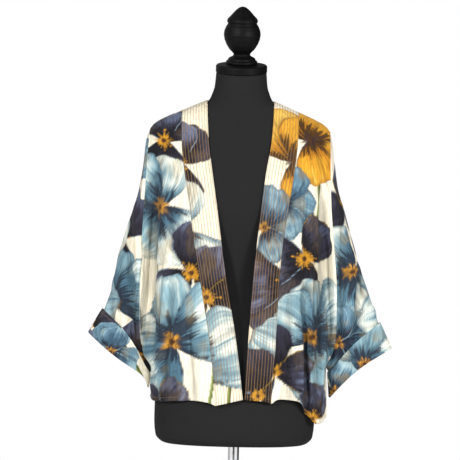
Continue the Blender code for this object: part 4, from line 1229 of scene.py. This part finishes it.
# Cotton jersey stretched over the torso: a deep matt black with hardly any shine. Its loops are
# about 0.5 mm wide and are drawn at 0.67 mm.
jersey = finish("black jersey", "1A1A1A", 0.95, 0.6667, 0.85, 1.15, 0.15, 0.15)
# Satin lacquer on turned wood: smooth and dark, with a broad faint sheen and a slow ripple.
lacquer = finish("black lacquer", "090909", 0.5, 6.25, 0.85, 1.1, 0.03, 0.08)
# Chromed steel tube: a mirror, which shows the room as upright stripes.
chrome = finish("polished chrome", "E4E4E6", 0.08, 3.333, 0.96, 1.02, 0.01, metal=1.0)
# Powder-coated steel: a soft shine broken up by a fine grit.
powder_coat = finish("black base paint", "1C1C1D", 0.4, 1.111, 0.85, 1.15, 0.05, 0.3)
# A paper backdrop: pale, matt and all but even.
backdrop = finish("pale floor", "EEEEEE", 0.7, 33.33, 0.99, 1.01, 0.1)


def flat_places(grid, middle):
    """Places on a cloth of the body laid flat: along each row, and down from the shoulder."""
    step = np.linalg.norm(np.diff(grid[..., :2], axis=1), axis=-1)
    along = np.concatenate([np.zeros((len(grid), 1)), np.cumsum(step, axis=1)], axis=1)
    start = middle if middle else 0
    turn = -1.0 if grid[0, -1, 0] < grid[0, 0, 0] else 1.0
    across = grid[:, start:start + 1, 0] + turn * (along - along[:, start:start + 1])
    down = ridge(grid[..., 0]) + ARCH - run_at(grid[..., 0], grid[..., 2])
    return across, down


def print_body(grid, which, shift=(0.0, 0.0), middle=0):
    """The print on a cloth of the body, shifted where a piece is cut from another place of it."""
    across, down = flat_places(grid, middle)
    return paint(across + shift[0], down + shift[1], which)


def print_round(grid, side, which):
    """The print goes on round the fold from a sleeve's front to its back."""
    fold = smooth(grid[..., 2], SLEEVE_OUTER[side][:, 1], SLEEVE_OUTER[side][:, 0])
    across = np.abs(grid[..., 0])
    far = np.maximum(fold, across)
    away = np.hypot(far - across, grid[..., 1])
    flat = np.where(grid[..., 1] <= 0.0, far - away, far + away)
    return paint(side * flat, grid[..., 2].copy(), which)


# How far above a free edge its hem or the cuff's fold is sewn, how much the turned hem stands out,
# and how deep and wide the groove of its seam is.
HEM_UP = 8.0
CUFF_UP = 7.0
HEM_THICK = 0.45
HEM_GROOVE = 0.5
HEM_GROOVE_WIDE = 1.6


def hem_turn(points, normals):
    """Raise a turned hem a little along the last edge and press a groove above it."""
    steps = np.linalg.norm(np.diff(points[::-1], axis=0), axis=-1)
    up = np.concatenate([np.zeros((1, points.shape[1])), np.cumsum(steps, axis=0)])[::-1]
    raise_by = HEM_THICK * (1.0 - fade(up, HEM_UP - 1.5, HEM_UP + 1.5))
    groove = HEM_GROOVE * np.exp(-(((up - HEM_UP) / HEM_GROOVE_WIDE) ** 2))
    return points + normals * (raise_by - groove)[..., None]


# How strongly the main creases stand beside the crinkles, how much painted shade darkens the cloth's
# colour for each millimetre it goes in and painted light brightens it for each out, and how thick a
# free edge looks.
CREASE_STRENGTH = 1.6
PAINTED_SHADE_IN = 0.045
PAINTED_LIGHT_OUT = 0.015
EDGE_THICK = 1.1
# How far the cloth dips at a seam, in the groove beside it and between stitched channels.
SEAM_DIP = 0.5
SEAM_GROOVE = 0.7
CHANNEL_DEEP = 0.95
# Rows above a free edge that keep the crinkles of the row over them.
FREE_ROWS = 6


def garment_piece(name, grid, closed, flip, seed, colours, free_foot, strength=1.0, channels=0):
    """A fine sheet just inside the solid's outer face, crinkled, with seams that dip a little.

    Each point moves along its outward direction by the crinkles and creases, which are calm at the
    seams, less a dip along each seam and a groove between stitched channels. It stays clear of the
    form. A free foot has a turned hem and a last row turned in by the cloth's thickness."""
    normals = grid_normals(grid, closed, flip)
    calm = edge_share(grid.shape[:2], closed, 4.0)
    inward = edge_share(grid.shape[:2], closed, 5.0)
    if free_foot:
        calm[-FREE_ROWS:] = calm[-FREE_ROWS - 1]
        calm[-FREE_ROWS:, 0] = 0.0
        calm[-FREE_ROWS:, -1] = 0.0
        inward[-FREE_ROWS:] = inward[-FREE_ROWS - 1]
    off = (wrinkles(grid, seed, strength) + CREASE_STRENGTH * strength * creases(grid)) * calm
    # Painted shade in the hollows of the creases and crinkles, and painted light on their ridges, by
    # how far each point moves.
    painted_fold_shading = 1.0 + PAINTED_SHADE_IN * np.clip(off, -7.0, 0.0) + PAINTED_LIGHT_OUT * np.clip(off, 0.0, 4.0)
    colours = colours * painted_fold_shading[..., None]
    off = off - SEAM_DIP * fade(inward, 0.0, 0.2)
    off = off - SEAM_GROOVE * np.exp(-(((inward - 0.35) / 0.25) ** 2))
    if channels:
        across = np.linspace(0.0, 1.0, grid.shape[1])
        off = off - CHANNEL_DEEP * (1.0 - np.abs(np.sin(math.pi * channels * across)) ** 0.6)[None, :]
    off = np.maximum(off, -room_inside(grid) - 0.4)
    points = grid + normals * off[..., None]
    shown = points
    if free_foot:
        points = hem_turn(points, normals)
        shown = np.concatenate([points, points[-1:] - normals[-1:] * EDGE_THICK])
        colours = np.concatenate([colours, colours[-1:]])
    cells = grid_cells(shown.shape[0], shown.shape[1], closed, flip)
    piece = mesh_piece(name + "_cloth", shown, cells, printed, colours)
    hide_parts(name)
    return piece, points, normals


CHANNELS = 9
# Where the rows of stitching run across a band, as shares of its width.
ROWS = [0.03] + [k / CHANNELS for k in range(1, CHANNELS)] + [0.97]
BAND_WIDE = 57.0
# How far from its own place on the front each band's cloth is cut from the print.
BAND_PRINT = (34.0, 52.0)


def sewn_with_groove_shade(colours):
    """Tint a band along its rows of stitching with the thread's tan, which is also painted shade in the
    grooves the rows sew; its width is the second axis.
    """
    across = np.linspace(0.0, 1.0, colours.shape[1])
    near = np.min(np.abs(across[None, :] - np.array(ROWS)[:, None]), axis=0) * BAND_WIDE
    # Painted shade: the tan line stands both for the thread and for the shade in the groove that each
    # row sews.
    thread_and_groove_shade = 0.62 * np.exp(-((near / 0.9) ** 2))
    grey = colours.mean(axis=-1, keepdims=True)
    return mix(colours, THREAD_AND_GROOVE_SHADE * (0.55 + 0.6 * grey), thread_and_groove_shade[None, :] * np.ones(colours.shape[:2]))


# How far the cuff's outer face and its inner fold lie from the cuff's middle, where its free top edge
# turns in, and how round its foot is.
CUFF_OUTER = 1.75
CUFF_INNER = 1.6
CUFF_FOLD = 1.7
CUFF_LIP = 0.7
CUFF_ROUND = 1.2


def cuff_cloth(sleeve, side):
    """The turned-back cuff on a sleeve's last rings, from its top edge down the outside, round a
    rolled foot and a little way up the inside. The outside and its directions come with it."""
    tail = sleeve[-(CUFF_RINGS + 1):]
    out = grid_normals(sleeve, True, side < 0)[-(CUFF_RINGS + 1):]
    body = tail.copy()
    body[0] = tail[0] + CUFF_START * (tail[1] - tail[0])
    flare = np.linspace(1.0, 0.0, CUFF_RINGS + 1)[:, None] * CUFF_FLARE + CUFF_CLEAR + CUFF_OUTER
    wave = wrinkles(body, 71.0 + side, 0.3) * fade(np.arange(CUFF_RINGS + 1), 0.0, 4.0)[:, None]
    outside = body + out * (flare + wave)[..., None]
    top = [body[0] + out[0] * (flare[0, 0] - back) for back in (CUFF_FOLD, CUFF_LIP)]
    down = unit(tail[-1] - tail[-2])
    foot = flare[-1, 0]
    roll = []
    for angle in math.pi * np.array([0.3, 0.6, 0.85, 1.0]):
        reach = 0.5 * (foot + CUFF_INNER) * math.cos(angle) + 0.5 * (foot - CUFF_INNER)
        roll.append(tail[-1] + out[-1] * reach + down * CUFF_ROUND * math.sin(angle))
    inner = [tail[-k] - out[-k] * CUFF_FOLD for k in (3, 6)]
    return np.concatenate([np.array(top), outside, np.array(roll), np.array(inner)]), outside, out


for side, word in ((-1, "right"), (1, "left")):
    flip = side < 0
    front = front_cloth(side).transpose(1, 0, 2)
    piece, points, normals = garment_piece(
        word + "_front", front, False, not flip, 11.0 + side, print_body(front, "front"), True)
    hem = stitches(word + "_front_stitching", [line_across(points, normals, HEM_UP, False)])

    band = band_cloth(side).transpose(1, 0, 2)
    colours = sewn_with_groove_shade(print_body(band, "front", (BAND_PRINT[0] * side, BAND_PRINT[1])))
    piece, points, normals = garment_piece(
        word + "_band", band, False, not flip, 31.0 + side, colours, True, 0.35, CHANNELS)
    rows = [line_down(points, normals, share) for share in ROWS]
    rows.append(line_across(points, normals, HEM_UP, False))
    stitching = stitches(word + "_band_stitching", rows)

    sleeve = sleeve_cloth(side)
    colours = print_round(sleeve, side, word + "_sleeve")
    piece, points, normals = garment_piece(
        word + "_sleeve", sleeve, True, flip, 51.0 + side, colours, False)

    cuff, outside, out = cuff_cloth(sleeve, side)
    cells = grid_cells(cuff.shape[0], cuff.shape[1], True, flip)
    piece = mesh_piece(
        word + "_cuff_cloth", cuff, cells, printed, print_round(cuff, side, word + "_cuff"))
    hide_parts(word + "_cuff")
    stitching = stitches(
        word + "_cuff_stitching", [line_across(outside[::-1], out[::-1], CUFF_UP, True)])

back = back_cloth().transpose(1, 0, 2)
colours = print_body(back, "back", middle=back.shape[1] // 2)
piece, points, normals = garment_piece("back", back, False, False, 91.0, colours, True)
hem = stitches("back_stitching", [line_across(points, normals, HEM_UP, False)])

# The neck band's print is laid flat by its turn round the neck, and is cut from the back's print.
NECK_RADIUS = 70.0
NECK_BAND_WIDE = 56.0
NECK_PRINT = (60.0, 150.0)
neck = neck_cloth().transpose(1, 0, 2)
turn = np.arctan2(neck[..., 0], -neck[..., 1]) * NECK_RADIUS
across = np.linspace(0.0, NECK_BAND_WIDE, neck.shape[1])[None, :] * np.ones(neck.shape[0])[:, None]
colours = sewn_with_groove_shade(paint(turn + NECK_PRINT[0], across + NECK_PRINT[1], "back"))
piece, points, normals = garment_piece(
    "neck_band", neck, False, True, 97.0, colours, False, 0.3, CHANNELS)
stitching = stitches("neck_band_stitching", [line_down(points, normals, share) for share in ROWS])


def leaning(points, share=1.0, pivot=NECK_TOP):
    """Points turned forward about a line across the neck, by a share of the neck's lean."""
    angle = NECK_LEAN * share
    up = points[..., 2] - pivot
    c = np.cos(angle)
    s = np.sin(angle)
    back = points[..., 1] * c - up * s
    return np.stack([points[..., 0], back, pivot + points[..., 1] * s + up * c], -1)


def rounded(profile, steps, share):
    """Cut each corner of a profile with a short curve, held by a row on either side. The cut is a
    share of the shorter side, and 1.6 mm at most."""
    out = [profile[0]]
    for before, corner, after in zip(profile[:-2], profile[1:-1], profile[2:]):
        c = np.array(corner)
        back = np.array(before) - c
        ahead = np.array(after) - c
        cut = min(share * np.linalg.norm(back), share * np.linalg.norm(ahead), 1.6)
        back = unit(back) * cut
        ahead = unit(ahead) * cut
        out.append(c + back * 1.5)
        for t in np.linspace(0.0, 1.0, steps + 1):
            out.append(c + (1 - t) ** 2 * back + t * t * ahead)
        out.append(c + ahead * 1.5)
    out.append(profile[-1])
    return np.array(out)


def turned(name, profile, material, node, lift=LEVEL, leans=False, sides=96):
    """A turned piece: its profile of radius and height, carried round the upright axis."""
    turn = 2.0 * math.pi * np.arange(sides) / sides
    radius = np.maximum(profile[:, :1], 0.0)
    height = np.repeat(profile[:, 1:] + lift - LEVEL, sides, 1)
    points = np.stack([radius * np.cos(turn), radius * np.sin(turn), height], -1)
    points = leaning(points) if leans else points
    piece = mesh_piece(name, points, grid_cells(len(profile), sides, True, False), material)
    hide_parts(node)


def form_skin(sides=144):
    """The torso as rings: each is a rounded square of the form's width and depth at its height, and
    the neck's rings turn forward by degrees. Its foot and its top are closed toward the middle."""
    heights = np.concatenate([
        np.linspace(-405.0, -388.0, 14), np.linspace(-384.0, 408.0, 190), FORM[-1:, 0],
    ])
    width, ahead, behind = [smooth(heights, FORM[:, 0], FORM[:, k])[:, None] for k in (1, 2, 3)]
    turn = 2.0 * math.pi * np.arange(sides) / sides
    c = np.cos(turn)[None, :]
    s = np.sin(turn)[None, :]
    x = np.sign(c) * np.abs(c) ** (2.0 / FORM_POWER)
    y = np.sign(s) * np.abs(s) ** (2.0 / FORM_POWER)
    level = np.repeat(heights[:, None], sides, 1)
    skin = np.stack([x * width, y * np.where(s > 0.0, behind, ahead), level], -1)
    skin = leaning(skin, fade(level, NECK_STRAIGHT, FORM[-1, 0]), level)
    closing = [skin[0] * np.array([r, r, 1.0]) for r in (0.0, 0.5)]
    top = np.array([0.0, 0.0, FORM[-1, 0]])
    lid = [top + (skin[-1] - top) * r for r in (0.5, 0.0)]
    return np.concatenate([np.array(closing), skin, np.array(lid)])


skin = form_skin()
cells = grid_cells(skin.shape[0], skin.shape[1], True, False)
body = mesh_piece("form_body_jersey", skin, cells, jersey)
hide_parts("form_body")
turned("neck_cap_lacquer", rounded(CAP, 5, 0.25), lacquer, "neck_cap", leans=True)
turned("finial_lacquer", rounded(FINIAL, 4, 0.3), lacquer, "finial", leans=True)
turned("pole_chrome_tube", rounded(POLE, 3, 0.01), chrome, "pole", 0.0)
turned("base_black_disc", rounded(BASE, 4, 0.2), powder_coat, "base", 0.0)

# The room: a pale disc for a floor, white all round, and soft lights from the front.
FLOOR_RADIUS = 2.2
floor_mesh = bpy.data.meshes.new("floor")
turn = 2.0 * math.pi * np.arange(96) / 96
ring = np.stack([FLOOR_RADIUS * np.cos(turn), FLOOR_RADIUS * np.sin(turn), 0.0 * turn], -1)
floor_mesh.from_pydata(ring.tolist(), [], [tuple(range(96))])
floor_mesh.materials.append(backdrop)
floor = bpy.data.objects.new("floor", floor_mesh)
bpy.context.scene.collection.objects.link(floor)

# What the chrome mirrors: a dark stretch where the camera stands, white beside it, and behind the
# stand a grey half on the right arm's side and a dark half on the left arm's side.
MIDDLE_OF_DARK = 0.04
AHEAD = {"From Min": 0.30, "From Max": 0.42, "To Min": 0.02, "To Max": 1.0}
BEHIND = {"From Min": -0.1, "From Max": 0.1, "To Min": 0.55, "To Max": 0.04}
TURNING_BACK = {"From Min": -0.25, "From Max": -0.1}
# How bright the white is where it lights the cloth, and where the camera sees it.
SOFT_WHITE = 0.3
SEEN_WHITE = 1.0

world = bpy.data.worlds.new("white room")
tree = new_tree(world)
place = add_node(tree, "TexCoord", {}, {})["Generated"]
way = add_node(tree, "SeparateXYZ", {}, {"Vector": place})
offset = add_node(tree, "Math", {"operation": "SUBTRACT", 1: MIDDLE_OF_DARK}, {0: way["X"]})[0]
aside = add_node(tree, "Math", {"operation": "ABSOLUTE"}, {0: offset})[0]
ahead = add_node(tree, "MapRange", AHEAD, {"Value": aside})["Result"]
behind = add_node(tree, "MapRange", BEHIND, {"Value": way["X"]})["Result"]
back_way = add_node(tree, "MapRange", TURNING_BACK, {"Value": way["Y"]})["Result"]
mirrored = add_node(tree, "Mix", {"data_type": "FLOAT"}, {0: back_way, 2: ahead, 3: behind})[0]
ray = add_node(tree, "LightPath", {}, {})
unseen = add_node(tree, "Mix", {"data_type": "FLOAT", 2: SOFT_WHITE},
                  {0: ray["Is Glossy Ray"], 3: mirrored})[0]
strength = add_node(tree, "Mix", {"data_type": "FLOAT", 3: SEEN_WHITE},
                    {0: ray["Is Camera Ray"], 2: unseen})[0]
sky = add_node(tree, "Background", {"Color": (1.0, 1.0, 1.0, 1.0)}, {"Strength": strength})
add_node(tree, "OutputWorld", {}, {"Surface": sky["Background"]})
bpy.context.scene.world = world
bpy.context.scene.view_settings.view_transform = "Standard"


def area_light(name, place, aim, size, power):
    """A square soft light at a place, turned so that it looks at the height of its aim on the axis."""
    data = bpy.data.lights.new(name, "AREA")
    data.shape = "SQUARE"
    data.size = size
    data.energy = power
    lamp = bpy.data.objects.new(name, data)
    bpy.context.scene.collection.objects.link(lamp)
    back_axis = unit(np.array(place) - np.array([0.0, 0.0, aim]))
    right = unit(np.cross((0.0, 0.0, 1.0), back_axis))
    up = np.cross(back_axis, right)
    turn = np.eye(4)
    turn[:3] = np.stack([right, up, back_axis, place], -1)
    lamp.matrix_world = Matrix(turn.tolist())
    return lamp


area_light("key light", (-2.4, -3.9, 2.3), 0.75, 0.7, 225.0)
area_light("fill light", (2.7, -3.6, 1.7), 0.7, 1.0, 185.0)
back_light = area_light("back light", (1.8, 3.4, 2.4), 0.7, 1.6, 90.0)
# It lights the back without a hard glint along the lacquer's edge.
back_light.visible_glossy = False

# The camera looks level from the front, rolled a little as in the photo.
ROLL = 0.021
PLACE = (-0.0179, -5.0, 0.7446)
LENS = 177.8
SENSOR = 36.0
FAR = 50.0
camera_data = bpy.data.cameras.new("camera")
camera_data.lens = LENS
camera_data.sensor_width = SENSOR
camera_data.clip_end = FAR
camera = bpy.data.objects.new("camera", camera_data)
bpy.context.scene.collection.objects.link(camera)
c = math.cos(ROLL)
s = math.sin(ROLL)
camera.matrix_world = Matrix([
    (c, -s, 0.0, PLACE[0]),
    (0.0, 0.0, -1.0, PLACE[1]),
    (s, c, 0.0, PLACE[2]),
    (0.0, 0.0, 0.0, 1.0),
])
bpy.context.scene.camera = camera
